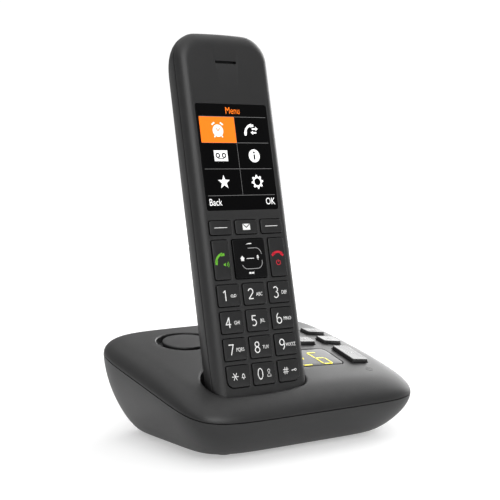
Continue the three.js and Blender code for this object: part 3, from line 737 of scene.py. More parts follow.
def top_frame(x, y):
    """Across, along and out of the top surface at a place."""
    step = 0.5
    slope_x = (top_at(x + step, y) - top_at(x - step, y)) / (2 * step)
    slope_y = (top_at(x, y + step) - top_at(x, y - step)) / (2 * step)
    across = Vector((1, 0, slope_x)).normalized()
    normal = Vector((-slope_x, -slope_y, 1)).normalized()
    along = normal.cross(across)
    columns = Matrix((across, along, normal)).transposed().to_4x4()
    return Matrix.Translation((x, y, top_at(x, y))) @ columns


def on_top(x, y, height):
    """A point above or below the top surface, square to it."""
    return top_frame(x, y) @ Vector((0, 0, height))


def conform(piece):
    """Bends a piece made over a flat top, in base coordinates, onto the domed one."""
    for vertex in piece.data.vertices:
        vertex.co = on_top(*vertex.co)
    return piece


def superellipse(share, half_x, half_y, power):
    angle = share * 2 * math.pi
    c, s = math.cos(angle), math.sin(angle)
    x = half_x * math.copysign(abs(c) ** 0.62, c)
    y = half_y * math.copysign(abs(s) ** 0.62, s)
    size = (abs(x / half_x) ** power + abs(y / half_y) ** power) ** (1 / power)
    return x / size, y / size


def shares():
    count = base().points
    return [(i + 0.5) / count for i in range(count)]


def dome_rings(skin, drop, insets):
    """Rings of the domed top, smaller by skin all round and reaching drop below the joint."""
    rings = []
    mean = (HALF_WIDTH + HALF_DEPTH) / 2
    for row, inset in enumerate([0.0] + insets):
        ring = []
        for share in shares():
            x, y = superellipse(share, HALF_WIDTH - skin, HALF_DEPTH - skin, RIM["power"])
            x, y = x * (1 - inset / mean), y * (1 - inset / mean)
            low = seam_at(y) + base().seam_gap / 2
            outer = 1 + skin / HALF_WIDTH
            high = max(top_at(x * outer, y * outer) - skin, low + (0.3 if skin else 0.0))
            ring.append(Vector((x, y, low - drop if row == 0 else high)))
        rings.append(ring)
    return rings


def hull_rings(skin, above, steps, floor):
    rings = []
    for step in range(steps + 1):
        share = math.sin(step / steps * math.pi / 2)
        inset = 0.55 * share ** 1.6 + 0.45 * (1 - math.sqrt(1 - share * share))
        ring = []
        for turn in shares():
            rim = Vector(superellipse(turn, HALF_WIDTH - skin, HALF_DEPTH - skin, RIM["power"]))
            foot = Vector(superellipse(
                turn, base().bottom_half_width - skin, base().bottom_half_depth - skin, RIM["bottom_power"],
            ))
            at = rim.lerp(foot, inset)
            start = seam_at(at.y) - base().seam_gap / 2
            ring.append(Vector((at.x, at.y, start + (floor - start) * share)))
        if step == 0 and above:
            rings.append([point + Vector((0, 0, above)) for point in ring])
        rings.append(ring)
    return rings


def pocket_outline(grow, out=0.0):
    """The cradle's outline, across and through the handset, as a ring of points."""
    side, front, rear = POCKET["half"] + grow, -POCKET["front"] - grow, POCKET["rear"] + grow
    near, far = POCKET["front_radius"] + grow, POCKET["rear_radius"] + grow
    points = []
    for x, y, radius, start in (
        (side - near, front + near + 1, near, -90), (side - far, rear - far, far, 0),
        (far - side, rear - far, far, 90), (near - side, front + near + 1, near, 180),
    ):
        points += [Vector((px, py)) for px, py in arc(x, y, radius, start, start + 90, 12)]
    for step in range(1, 16):
        share = step / 16
        x = (side - near) * (2 * share - 1)
        points.append(Vector((x, front + 1 - 2 * share * (1 - share) * 2)))
    return points


def pocket_ring(grow, level):
    """A ring of the cradle square to the handset, at a level along it."""
    return [FOOT + Vector((p.x, 0, 0)) + p.y * BACK + level * UP for p in pocket_outline(grow)]


def pocket_lip(grow, height):
    """A ring of the cradle's outline where it meets the top surface, offset along that surface's normal."""
    ring = []
    for p in pocket_outline(grow):
        start = FOOT + Vector((p.x, 0, 0)) + p.y * BACK
        level = 20.0
        for _ in range(12):
            at = start + level * UP
            level -= (at.z - top_at(at.x, at.y)) / UP.z
        at = start + level * UP
        ring.append(at + (on_top(at.x, at.y, height) - on_top(at.x, at.y, 0)))
    return ring


def pocket_cutter(lip=0.9):
    """The cradle's space, opening out at the top with a rounded lip."""
    rings = [pocket_ring(-1.2, POCKET["floor"]), pocket_ring(-0.35, POCKET["floor"] + 0.35)]
    rings.append(pocket_ring(0, POCKET["floor"] + 1.2))
    for step in range(5):
        angle = step / 4 * math.pi / 2
        rings.append(pocket_lip(lip * (1 - math.cos(angle)), -lip * (1 - math.sin(angle))))
    rings.append(pocket_lip(lip + 0.25, 0.5))
    rings.append(pocket_lip(lip + 0.25, 14))
    return loft("cradle_space", rings)


def lipped_hole(name, outline, depth, lip=0.35):
    """A cutter for a hole through the top surface whose edge is rounded."""
    profile = [(0, -depth), (0, -lip)]
    for step in range(1, 4):
        angle = step / 3 * math.pi / 2
        profile.append((-lip * (1 - math.cos(angle)), -lip * (1 - math.sin(angle))))
    profile += [(-lip - 0.15, 0.3), (-lip - 0.15, 4)]
    return prism(name, outline, profile)


class PHONE_OT_base_top(bpy.types.Operator):
    """Domed top of the base with the cradle, the speaker recess and the openings of keys and counter"""

    bl_idname = "phone.base_top"
    bl_label = "Base top"

    def execute(self, context):
        cover = loft("base_top_cover_shell", dome_rings(0, 0, OUTER_INSETS))
        carve(cover, [loft("inside", dome_rings(base().wall, 3, INNER_INSETS))])
        floor = POCKET["floor"]
        rings = [pocket_ring(1.2, floor - 1.8), pocket_ring(1.8, floor - 1.2), pocket_lip(1.8, -1.0)]
        tub = loft("tub", rings)
        seat_outline = round_outline(SPEAKER["seat"], 48, (SPEAKER["x"], SPEAKER["y"]))
        seat = conform(prism("seat", seat_outline, [(0, -4.6), (0, -1.0)]))
        carve(cover, [tub], "UNION")
        carve(cover, [seat], "UNION")
        cutters = [pocket_cutter()]
        recess = round_outline(SPEAKER["recess"], 96, (SPEAKER["x"], SPEAKER["y"]))
        cutters.append(conform(lipped_hole("speaker_recess", recess, SPEAKER["depth"], 0.55)))
        middle = (COUNTER["x"], COUNTER["y"])
        half_x, half_y = COUNTER["half_x"] + KEY_GAP, COUNTER["half_y"] + KEY_GAP
        frame_hole = box_outline(half_x, half_y, COUNTER["radius"], 6, middle)
        cutters.append(conform(lipped_hole("counter_opening", frame_hole, 9, 0.12)))
        for name, x, y, half_x, half_y in BASE_KEYS:
            outline = box_outline(half_x + KEY_GAP, half_y + KEY_GAP, 1.5, 5)
            cutters.append(place(lipped_hole(name + "_opening", outline, 9, 0.3), top_frame(x, y)))
        carve(cover, cutters)
        slots = []
        for side in (-9, 9):
            outline = box_outline(1.9, 2.5, 0.4, 3, (side, 0))
            slot = prism("contact_slot", outline, [(0, -8), (0, 2)])
            slots.append(place(slot, cradle_matrix(9.8)))
        carve(cover, slots)
        dress(cover, body_plastic(), "base_top_cover")
        return {"FINISHED"}


def cradle_matrix(depth):
    """Across, through and along the handset, at a depth behind its front face."""
    columns = Matrix((Vector((1, 0, 0)), BACK, UP)).transposed().to_4x4()
    return Matrix.Translation(FOOT + depth * BACK) @ columns


SOCKETS = {
    "power_socket": {"x": -14.0, "half_x": 4.5, "half_z": 4.0, "mouth_x": 2.3, "mouth_z": 2.3},
    "line_socket": {"x": 10.0, "half_x": 6.5, "half_z": 4.5, "mouth_x": 4.8, "mouth_z": 3.0},
}
SOCKET_Z = 11.5
# Right, up and out, as seen from behind.
REAR = Matrix(((-1, 0, 0, 0), (0, 0, 1, 0), (0, 1, 0, SOCKET_Z), (0, 0, 0, 1)))
FEET = {"foot_front_left": (-33, -23), "foot_front_right": (33, -23), "foot_rear_left": (-33, 24),
        "foot_rear_right": (33, 24)}
SCREWS = {"base_screw_left": (-40, 5), "base_screw_right": (24, 30)}


class PHONE_OT_base_bottom(bpy.types.Operator):
    """Lower shell of the base, with seats for the feet and screws and openings for the two sockets"""

    bl_idname = "phone.base_bottom"
    bl_label = "Base bottom"

    def execute(self, context):
        outer = hull_rings(0, 0, 22, base().bottom_height)
        inner = hull_rings(base().wall, 4, 12, base().bottom_height + 2.4)
        shell = loft("base_bottom_cover_shell", outer)
        carve(shell, [loft("inside", inner)])
        cutters = []
        lip = [(-0.3, -1), (-0.3, 1.7), (0, 2)]
        for centre in FEET.values():
            cutters.append(prism("foot_seat", round_outline(4.9, 40, centre), lip + [(0, 2.9)]))
        for centre in SCREWS.values():
            cutters.append(prism("screw_seat", round_outline(3.0, 32, centre), lip + [(0, 4.3)]))
        for port in SOCKETS.values():
            half_x, half_z = port["half_x"] + KEY_GAP, port["half_z"] + KEY_GAP
            outline = box_outline(half_x, half_z, 0.8, 4, (-port["x"], 0))
            cutters.append(place(prism("port", outline, [(0, 24), (0, 50)]), REAR))
        carve(shell, cutters)
        vents = []
        for row in range(6):
            outline = box_outline(9, 0.7, 0.65, 4, (0, 6 + row * 2.6))
            vents.append(prism("vent", outline, [(0, 0.5), (0, 3.0)]))
        carve(shell, vents)
        dress(shell, body_plastic(), "base_bottom_cover")
        return {"FINISHED"}


class PHONE_OT_base_fittings(bpy.types.Operator):
    """Feet, sockets and screws of the base"""

    bl_idname = "phone.base_fittings"
    bl_label = "Feet and sockets"

    def execute(self, context):
        for name, (x, y) in FEET.items():
            profile = [(0.3, 0.25), (0.9, 0.0), (1.1, 0.0), (1.3, 0.15), (3.0, 0.15)]
            foot = prism(name + "_pad", round_outline(4.6, 40, (x, y)), [(0, 2.6), (0, 0.9)] + profile)
            dress(foot, soft_rubber(), name)
        for name, port in SOCKETS.items():
            case = box_outline(port["half_x"], port["half_z"], 0.6, 4)
            mouth = box_outline(port["mouth_x"], port["mouth_z"], 0.5 if name == "line_socket" else 2.2, 4)
            rings = [case(0, 26), case(0, 37.6), case(0.4, 38)]
            rings += [mouth(-0.35, 38), mouth(0, 37.6), mouth(0, 29)]
            aside = REAR @ Matrix.Translation((-port["x"], 0, 0))
            socket = place(loft(name + "_shell", rings), aside)
            pins = []
            if name == "line_socket":
                for i in range(6):
                    wire = box_outline(0.2, 1.1, 0.1, 2, (-2.5 + i, 1.2))
                    pins.append(prism("spring_wire", wire, [(0, 29), (0, 34.5), (0.12, 35)]))
            else:
                pins.append(prism("centre_pin", round_outline(0.65, 20), [(0, 29), (0, 36), (0.3, 36.5)]))
            wires = place(join(name + "_contact", pins), aside)
            dress(wires, plated_contact(), body="base")
            dress(socket, socket_moulding(), name)
        for name, (x, y) in SCREWS.items():
            head = prism(name + "_body", round_outline(2.7, 32), [(0, 4), (0, 2.7), (0.35, 2.3), (0.9, 2.2)])
            recess = [prism("cross", box_outline(1.7, 0.35, 0.1, 2), [(0.25, 3.4), (0, 1)]),
                      prism("cross", box_outline(0.35, 1.7, 0.1, 2), [(0.1, 3.4), (0, 1)])]
            for cutter in recess:
                carve(head, [cutter])
            shank = prism("shank", round_outline(1.2, 20), [(0, 4), (0, 15), (0.9, 16)])
            screw = place(join(name + "_body", [head, shank]), Matrix.Translation((x, y, 0)))
            dress(screw, plain_steel(), name)
        return {"FINISHED"}


class PHONE_OT_speaker_cover(bpy.types.Operator):
    """Round cover over the loudspeaker, set in its recess"""

    bl_idname = "phone.speaker_cover"
    bl_label = "Speaker cover"

    def execute(self, context):
        outline = round_outline(SPEAKER["disc"], 96, (SPEAKER["x"], SPEAKER["y"]))
        profile = [(0.3, -2.7), (0, -2.4)] + fillet(0, -0.05, 0.55, 5)
        profile += [(radius, -0.05) for radius in (1.5, 3.0, 5.0, 7.0, 8.8)]
        cover = conform(prism("speaker_disc", outline, profile))
        dress(cover, body_plastic(), "speaker_cover")
        return {"FINISHED"}


def seven_segments(number, x, y, size, width):
    """Loops of the lit strokes of one figure, leaning a little."""
    reach, lean = 4.75, -0.155
    strokes = {
        "a": (0, 1, 1, 1), "b": (1, 1, 1, 0), "c": (1, 0, 1, -1), "d": (0, -1, 1, -1), "e": (0, 0, 0, -1),
        "f": (0, 1, 0, 0), "g": (0, 0, 1, 0),
    }
    lit_strokes = {
        "0": "abcdef", "1": "bc", "2": "abged", "3": "abgcd", "4": "fgbc", "5": "afgcd", "6": "afgedc",
        "7": "abc", "8": "abcdefg", "9": "abcdfg",
    }[number]
    groups = []
    for key in lit_strokes:
        x0, y0, x1, y1 = strokes[key]
        start, end = Vector((x0 * reach, y0 * size)), Vector((x1 * reach, y1 * size))
        trim = (end - start).normalized() * width * 0.6
        start, end = start + trim, end - trim
        loop = line([tuple(start), tuple(end)], width)
        groups.append([[(px + lean * py + x, py + y) for px, py in loop]])
    return groups


class PHONE_OT_counter(bpy.types.Operator):
    """Smoked window of the message counter with its lit figures"""

    bl_idname = "phone.counter"
    bl_label = "Message counter"

    def execute(self, context):
        middle = Vector((COUNTER["x"], COUNTER["y"], 0.01))
        outline = box_outline(COUNTER["half_x"], COUNTER["half_y"], COUNTER["radius"], 6, middle)
        profile = [(0, -1.1)] + fillet(0, 0.02, 0.15, 3) + [(2, 0.02), (5, 0.02)]
        pane = conform(prism("counter_pane", outline, profile))
        dress(pane, smoked_pane(), "counter_window")
        light = lit("counter_light", finish().counter, 1.1)
        for i, shown in enumerate(finish().count[:2]):
            groups = seven_segments(shown, -10.4 + 10.8 * i, -1.55, 5.1, 0.52)
            strokes = sign(f"counter_figure_{i}", groups, 0.06, light, height=0.02)
            conform(place(strokes, Matrix.Translation(middle)))
            dress(strokes, None, body="base")
        dot = sign("power_sign", [
            [line(arc(0, 0, 1.5, 125, 415, 20), 0.3)], [line([(0, 0.3), (0, 1.9)], 0.3)],
        ], 0.04, material("faint_print", (0.011, 0.011, 0.011), 0.5), height=0.0)
        place(dot, top_frame(37.6, -30.2))
        dress(dot, None, body="base")
        return {"FINISHED"}


def base_key_sign(name):
    """Loops of the sign on a base key, about its middle."""
    right, left = [(-0.9, -1), (0.9, 0), (-0.9, 1)], [(0.9, -1), (-0.9, 0), (0.9, 1)]

    def shift(loop, x):
        return [(px + x, py) for px, py in loop]

    return {
        "play_stop_key": [[shift(right, -1.6)], [rect(0.7, 2.3, -0.8, 0.8)]],
        "skip_forward_key": [[shift(right, -0.6)], [rect(0.6, 0.95, -1, 1)]],
        "skip_back_key": [[shift(left, 0.6)], [rect(-0.95, -0.6, -1, 1)]],
        "delete_key": [[line([(-0.9, -0.9), (0.9, 0.9)], 0.4)], [line([(-0.9, 0.9), (0.9, -0.9)], 0.4)]],
        "answer_on_key": [[disc(-1.1, 0, 0.8), disc(-1.1, 0, 0.45)], [disc(1.1, 0, 0.8), disc(1.1, 0, 0.45)],
                          [rect(-1.1, 1.1, -0.8, -0.5)]],
        "volume_up_key": [[line([(-0.9, 0), (0.9, 0)], 0.4)], [line([(0, -0.9), (0, 0.9)], 0.4)]],
        "volume_down_key": [[line([(-0.9, 0), (0.9, 0)], 0.4)]],
    }[name]


class PHONE_OT_base_keys(bpy.types.Operator):
    """Seven keys of the base, standing well proud, each with its sign"""

    bl_idname = "phone.base_keys"
    bl_label = "Base keys"

    def execute(self, context):
        top = base().key_height
        printed = material("base_key_print", (0.5, 0.5, 0.5), 0.45)
        for name, x, y, half_x, half_y in BASE_KEYS:
            profile = [(0.15, -3.2), (0.02, 0)] + fillet(0.12, top, 0.4, 4)
            profile += [(1.2, top - 0.02), (2.6, top - 0.06)]
            cap = prism(name + "_cap", box_outline(half_x, half_y, 1.3, 6), profile)
            cap.data.materials.append(base_key_plastic())
            size = 0.744 if name == "play_stop_key" else 0.9
            mark = sign(name + "_sign", base_key_sign(name), 0.05, printed, size=size, height=top - 0.07)
            cap = join(name + "_cap", [cap, mark])
            stem = prism("stem", box_outline(1.6, 1.6, 0.3, 2), [(0, -6.0), (0, -3.0)])
            stem.data.materials.append(base_key_plastic())
            cap = join(name + "_cap", [cap, stem])
            dress(place(cap, top_frame(x, y)), None, name)
        return {"FINISHED"}


# ------------------------------------------------------------------ handset shapes


# How the ends and the corners' radii of each cover change for each millimetre that its sides draw in.
FRONT_ENDS = {"top": 1.5, "bottom": 0.75, "top_corner": -1.0, "bottom_corner": -1.0}
REAR_ENDS = {"top": 1.6, "bottom": 0.3, "top_corner": 1.2, "bottom_corner": 0.0}


def handset_ring(inset, height, ends):
    """One ring of the handset's outline, drawn in by inset, at a height out of the front face."""
    sizes = handset()
    half = sizes.half_width - inset
    top = sizes.length - sizes.crown - ends["top"] * inset
    bottom = ends["bottom"] * inset
    top_inner = min(max(sizes.top_radius + ends["top_corner"] * inset, 0.5), half)
    bottom_inner = min(max(sizes.bottom_radius + ends["bottom_corner"] * inset, 0.5), half)
    points = []

    def bow(x):
        return sizes.crown * (1 - (x / sizes.half_width) ** 2)

    def corner(side, upper, start):
        inner = top_inner if upper else bottom_inner
        level = top - inner if upper else bottom + inner
        for x, y in arc(side * (half - inner), level, inner, start, start + 90, 14):
            points.append(Vector((x, y + (bow(x) if upper else 0), height)))

    corner(1, False, -90)
    corner(1, True, 0)
    for step in range(1, 20):
        x = (1 - step / 10) * (half - top_inner)
        points.append(Vector((x, top + bow(x), height)))
    corner(-1, True, 90)
    corner(-1, False, 180)
    return points


def front_rings(skin, past):
    """From the joint of the two covers to the front face."""
    sizes = handset()
    rings = []
    if past:
        rings.append(handset_ring(skin, -sizes.seam - past, FRONT_ENDS))
    else:
        for inset, rise in ((0.3, 0.0), (0.08, 0.06), (0.0, 0.12)):
            rings.append(handset_ring(inset, -sizes.seam + rise, FRONT_ENDS))
    reach = sizes.front_fillet - skin
    for step in range(1, 17):
        angle = step / 16 * math.pi / 2
        inset = skin + reach * (1 - math.cos(angle))
        rings.append(handset_ring(inset, -sizes.front_fillet + reach * math.sin(angle), FRONT_ENDS))
    return rings


def rear_rings(skin, past):
    """From the joint of the two covers to the back."""
    sizes = handset()
    start = -sizes.seam - sizes.seam_gap
    rings = []
    if past:
        rings.append(handset_ring(skin, start + past, REAR_ENDS))
    else:
        for inset, drop in ((0.3, 0.0), (0.08, 0.08), (0.0, 0.25)):
            rings.append(handset_ring(inset, start - drop, REAR_ENDS))
    centre = -(sizes.thickness - sizes.rear_radius)
    reach = sizes.rear_radius - skin
    for step in range(21):
        angle = step / 20 * math.pi / 2
        inset = skin + reach * (1 - math.cos(angle))
        rings.append(handset_ring(inset, centre - reach * math.sin(angle), REAR_ENDS))
    return rings


SOFT_ROW = {"bottom": 72.27, "top": 77.85, "columns": ((-17.6, -7.3), (-5.27, 5.27), (7.3, 17.6)),
            "names": ("soft_key_left", "message_key", "soft_key_right")}
CALL_ROW = {"bottom": 54.28, "top": 70.06, "columns": ((-17.57, -10.0), (-7.73, 7.73), (10.0, 17.57)),
            "names": ("talk_key", "navigation_key", "end_key")}
DIGIT_ROWS = {
    "top": 52.1, "height": 8.54, "pitch": 10.69, "columns": ((-17.6, -7.23), (-5.19, 5.19), (7.23, 17.6)),
}
DIGITS = ("1", "2", "3", "4", "5", "6", "7", "8", "9", "star", "0", "hash")
LETTERS = {"2": "ABC", "3": "DEF", "4": "GHI", "5": "JKL", "6": "MNO", "7": "PQRS", "8": "TUV", "9": "WXYZ"}
WINDOW = {"half_x": 17.37, "bottom": 82.25, "top": 125.8, "radius": 1.0}


def keypad():
    """Name, middle, half sizes and corner radii of each key of the handset."""
    keys = []
    for row in (SOFT_ROW, CALL_ROW):
        for name, (x0, x1) in zip(row["names"], row["columns"]):
            keys.append((name, x0, x1, row["bottom"], row["top"], [0.7] * 4))
    for i, digit in enumerate(DIGITS):
        x0, x1 = DIGIT_ROWS["columns"][i % 3]
        top = DIGIT_ROWS["top"] - i // 3 * DIGIT_ROWS["pitch"]
        radii = [0.7] * 4
        if digit == "star":
            radii[2] = 3.0
        if digit == "hash":
            radii[3] = 3.0
        keys.append(("digit_key_" + digit, x0, x1, top - DIGIT_ROWS["height"], top, radii))
    return [
        (name, Vector(((x0 + x1) / 2, (y0 + y1) / 2)), (x1 - x0) / 2, (y1 - y0) / 2, radii)
        for name, x0, x1, y0, y1, radii in keys
    ]


class PHONE_OT_handset_front(bpy.types.Operator):
    """Front cover of the handset with the openings of window, earpiece, microphone and keys"""

    bl_idname = "phone.handset_front"
    bl_label = "Handset front"

    def execute(self, context):
        cover = loft("handset_front_shell", front_rings(0, 0))
        carve(cover, [loft("inside", front_rings(handset().wall, 2))])
        cutters = []
        for name, middle, half_x, half_y, radii in keypad():
            outline = box_outline(half_x + 0.3, half_y + 0.3, [radius + 0.3 for radius in radii], 4, middle)
            cutters.append(lipped_hole(name + "_opening", outline, 3, 0.22))
        middle = (0, (WINDOW["bottom"] + WINDOW["top"]) / 2)
        half_y = (WINDOW["top"] - WINDOW["bottom"]) / 2
        window = box_outline(WINDOW["half_x"] + 0.2, half_y + 0.2, WINDOW["radius"], 4, middle)
        cutters.append(lipped_hole("window_opening", window, 3, 0.12))
        slot = box_outline(5.3, 0.6, 0.58, 5, (0, 143.5))
        cutters.append(lipped_hole("earpiece_slot", slot, 3, 0.2))
        cutters.append(lipped_hole("microphone_hole", round_outline(0.45, 20, (0, 4.6)), 3, 0.15))
        carve(cover, cutters)
        dress(place(cover, FACE), body_plastic(), "handset_front_cover")
        # A real gauze behind the earpiece slot, its near-black colour painted shade of the unlit inside.
        mesh = prism("earpiece_gauze", box_outline(6.0, 1.2, 0.5, 4, (0, 143.5)), [(0, -2.0), (0, -1.75)])
        dress(place(mesh, FACE), shadow_plastic(), body="handset")
        rib = [handset_ring(inset, -depth, FRONT_ENDS) for inset, depth in (
            (0.45, 4.25), (0.45, 4.5), (1.75, 4.5), (1.75, 6.0), (2.35, 6.0), (2.35, 3.2), (1.75, 3.2),
            (1.75, 4.25), (0.45, 4.25),
        )]
        rib = loft("seam_rib", rib, cap_start=False, cap_end=False)
        dress(place(rib, FACE), body_plastic(), body="handset")
        return {"FINISHED"}


def lid_span(name, grow, end_gap):
    """A cutter for the battery cover's place; its upper end is an arc about the cover's lower rear edge."""
    thickness = handset().thickness
    start, end, depth = LID["start"] - grow, LID["end"] + end_gap, LID["depth"] - grow
    behind = -thickness - 3
    rings = []
    for x in (-26, 26):
        ring = [Vector((x, start, -depth)), Vector((x, start, behind)), Vector((x, end, behind))]
        for step in range(9):
            inward = step / 8 * (thickness - depth)
            reach = end - start
            drop = 0 if end_gap else reach - math.sqrt(reach ** 2 - inward ** 2)
            ring.append(Vector((x, end - drop, -thickness + inward)))
        rings.append(ring)
    return loft(name, rings)


class PHONE_OT_handset_rear(bpy.types.Operator):
    """Rear cover of the handset, the battery cover, the bay and the two cells"""

    bl_idname = "phone.handset_rear"
    bl_label = "Handset rear"

    def execute(self, context):
        sizes = handset()
        rear = loft("handset_rear_shell", rear_rings(0, 0))
        carve(rear, [loft("inside", rear_rings(sizes.wall, 2))])
        lid = copy_of(rear, "battery_lid_shell")
        carve(lid, [lid_span("lid_span", 0, 0)], "INTERSECT")
        carve(rear, [lid_span("lid_opening", LID["gap"], LID["gap"])])
        cutters = []
        for i, y in enumerate((-6, -3, 0, 3, 6)):
            reach = math.sqrt(64 - y * y) - 1
            outline = box_outline(reach, 0.6, 0.55, 4, (0, 118 + y))
            cutters.append(prism("grille_slot", outline, [(0, -22), (0, -16)]))
        for side in (-9, 9):
            outline = box_outline(3.3, 1.9, 0.3, 3, (side, -9.8))
            pad = prism("pad_opening", outline, [(0, -3), (0, 1)])
            cutters.append(place(pad, Matrix(((1, 0, 0, 0), (0, 0, -1, 0), (0, 1, 0, 0), (0, 0, 0, 1)))))
        cutters.append(prism("screw_well", round_outline(2.7, 32, (0, 14)), [(0, -22), (0, -17.0)]))
        carve(rear, cutters)
        grips = []
        for row in range(4):
            outline = box_outline(4.5 - row * 0.5, 0.35, 0.3, 3, (0, 66.5 - row * 1.5))
            groove = [(0.2, -sizes.thickness + 0.3), (-0.2, -sizes.thickness - 0.5)]
            grips.append(prism("grip", outline, groove))
        carve(lid, grips)
        dress(place(rear, FACE), body_plastic(), "handset_rear_cover")
        dress(place(lid, FACE), body_plastic(), "battery_cover")
        self.bay()
        return {"FINISHED"}

    def bay(self):
        outline = box_outline(20.2, 25.2, 1.0, 4, (0, 46))
        tray = loft("battery_bay", [outline(inset, -height) for inset, height in (
            (0, 6.4), (0, 10.6), (0.15, 10.8), (0.85, 10.8), (1.0, 10.6), (1.0, 7.0), (1.6, 6.9),
        )])
        dress(place(tray, FACE), body_plastic(), body="handset")
        sleeve = material("cell_sleeve", (0.03, 0.11, 0.2), 0.28, grain=0.1, Coat_Weight=0.3)
        for name, x in (("battery_cell_left", -5.7), ("battery_cell_right", 5.7)):
            along = Matrix.Translation((x, 23.6, -12.3)) @ Matrix.Rotation(math.radians(-90), 4, "X")
            wrap = prism(name + "_sleeve", round_outline(5.25, 48), [
                (1.2, 0.1), (0.9, 0.0), (0.3, 0.15), (0, 0.6),
                (0, 41.8), (0.35, 42.4), (1.0, 42.6), (2.2, 42.6),
            ])
            wrap.data.materials.append(sleeve)
            ends = prism("cell_end", round_outline(4.3, 40), [
                (0, 0.02), (0, 42.7), (0.4, 43.0), (2.3, 43.0), (2.4, 43.9), (2.6, 44.0),
            ])
            ends.data.materials.append(plain_steel())
            cell = join(name + "_body", [wrap, ends])
            dress(place(cell, FACE @ along), None, name)


def digit_legend(digit):
    """Plates of a digit key's figure and its small letters or sign, about the key's middle."""
    white = ink()
    plates = []
    name = "legend_" + digit
    if digit == "star":
        strokes = [[turned(line([(0, -1.6), (0, 1.6)], 0.28), turn)] for turn in (30, 90, 150)]
        plates.append(sign(name, strokes, 0.05, white, shift=(-1.5, 0)))
        bell = [
            (-0.95, -0.75), (0.95, -0.75), (0.62, -0.3), (0.58, 0.35), (0.3, 0.85), (0, 1.0),
            (-0.3, 0.85), (-0.58, 0.35), (-0.62, -0.3),
        ]
        inner = [(x * 0.62, y * 0.62 - 0.05) for x, y in bell]
        plates.append(sign(name, [[bell, inner], [disc(0, -1.1, 0.25, 10)]], 0.05, white, shift=(2.4, 0)))
    elif digit == "hash":
        strokes = [[line([(x - 0.15, -1.4), (x + 0.15, 1.4)], 0.25)] for x in (-0.5, 0.5)]
        strokes += [[rect(-1.35, 1.35, y - 0.12, y + 0.12)] for y in (-0.5, 0.5)]
        plates.append(sign(name, strokes, 0.05, white, shift=(-1.6, 0)))
        key = [[disc(1.0, 0, 0.6, 14), disc(1.0, 0, 0.33, 12)], [rect(-1.1, 0.45, -0.13, 0.13)],
               [rect(-1.1, -0.85, -0.55, -0.1)], [rect(-0.6, -0.35, -0.45, -0.1)]]
        plates.append(sign(name, key, 0.05, white, shift=(2.3, 0), size=0.9))
    else:
        plates.append(sign(name, figure(digit), 0.05, white, shift=(-1.8, 0)))
        if digit in LETTERS:
            plates.append(words(name, LETTERS[digit], 1.5, white, (2.35, -0.3), narrow=0.78))
        elif digit == "1":
            reels = [[disc(x, 0, 0.6, 14), disc(x, 0, 0.4, 12)] for x in (-0.75, 0.75)]
            reels.append([rect(-0.75, 0.75, -0.6, -0.4)])
            plates.append(sign(name, reels, 0.05, white, shift=(2.2, -0.2)))
        elif digit == "0":
            paths = [
                arc(0, 0.95, 0.55, -60, 240, 14), [(-0.3, 0.4), (-0.3, -0.5)], [(0.3, 0.4), (0.3, -0.5)],
                [(-0.8, -0.6), (-0.8, -1.4), (0.8, -1.4), (0.8, -0.6)],
            ]
            plates.append(sign(name, [[line(path, 0.2)] for path in paths], 0.05, white, shift=(2.4, 0)))
    return plates


def call_legend(name):
    """Plates of the signs on the soft, call and navigation keys, about each key's middle."""
    white = ink()
    grey = material("navigation_print", (0.35, 0.35, 0.35), 0.4)
    if name in ("soft_key_left", "soft_key_right"):
        return [sign(name + "_sign", [[rect(-3.1, 3.1, -0.12, 0.12)]], 0.05, white)]
    if name == "message_key":
        envelope = [[rect(-1.8, 1.8, -1.25, 1.25)]]
        flap = sign(name + "_sign", [[line([(-1.65, 1.1), (0, -0.2), (1.65, 1.1)], 0.34)]], 0.05,
                    material("envelope_fold", (0.03, 0.03, 0.03), 0.5), height=0.03)
        return [sign(name + "_sign", envelope, 0.05, white), flap]
    if name == "talk_key":
        green = lit("talk_sign", finish().talk, 0.12)
        waves = [[line(arc(0.2, -1.0, r, -40, 40, 8), 0.32)] for r in (1.1, 1.9)]
        speaker = [[[(-0.9, -1.4), (-0.3, -1.4), (0.3, -1.9), (0.3, -0.1), (-0.3, -0.6), (-0.9, -0.6)]]]
        return [sign(name + "_sign", receiver(0.75), 0.05, green, shift=(-0.6, 0.6), size=1.25),
                sign(name + "_sign", speaker + waves, 0.05, green, shift=(1.45, -1.1), size=0.85)]
    if name == "end_key":
        red = lit("end_sign", finish().end, 0.12)
        lying = [[turned(loop, -45) for loop in group] for group in receiver(0.75)]
        ring = [[line(arc(0, 0, 0.85, 120, 420, 16), 0.26)], [line([(0, 0.15), (0, 1.15)], 0.26)]]
        return [sign(name + "_sign", lying, 0.05, red, shift=(0.3, 0.9), size=1.2),
                sign(name + "_sign", ring, 0.05, red, shift=(0, -2.3), size=1.15)]
    round_corner = arc(3.2, 1.6, 2.6, 90, 0, 8)
    ring = [[line([(-0.6, 4.2)] + round_corner, 0.26)],
            [line([(5.8, -0.9)] + arc(3.2, -1.6, 2.6, 0, -90, 8) + arc(-1.6, -1.6, 2.6, -90, -160, 8), 0.26)]]
    house = [[[(-1.0, 0), (0, 1.0), (1.0, 0), (0.65, 0), (0.65, -0.9), (-0.65, -0.9), (-0.65, 0)]]]
    wedge = [[[(-1.3, -0.35), (1.3, -0.35), (1.3, 0.45)]]]
    book = [[rect(-1.1, -0.1, -0.7, 0.7)], [rect(0.1, 1.1, -0.7, 0.7)]]
    microphone = [[disc(0, 0.45, 0.4, 10)], [rect(-0.4, 0.4, -0.3, 0.45)], [rect(-0.12, 0.12, -0.9, -0.3)]]
    marks = [(wedge, 0, 6.2), (house, -3.7, 0.1), (book, 0, -6.3), (microphone, 3.9, 0.3)]
    plates = [sign(name + "_sign", groups, 0.05, white, shift=(x, y), size=1.1) for groups, x, y in marks]
    plates.append(sign(name + "_sign", ring, 0.05, grey))
    plates.append(sign(name + "_sign", [[rect(-1.6, 2.0, -0.13, 0.13)]], 0.05, white))
    return plates


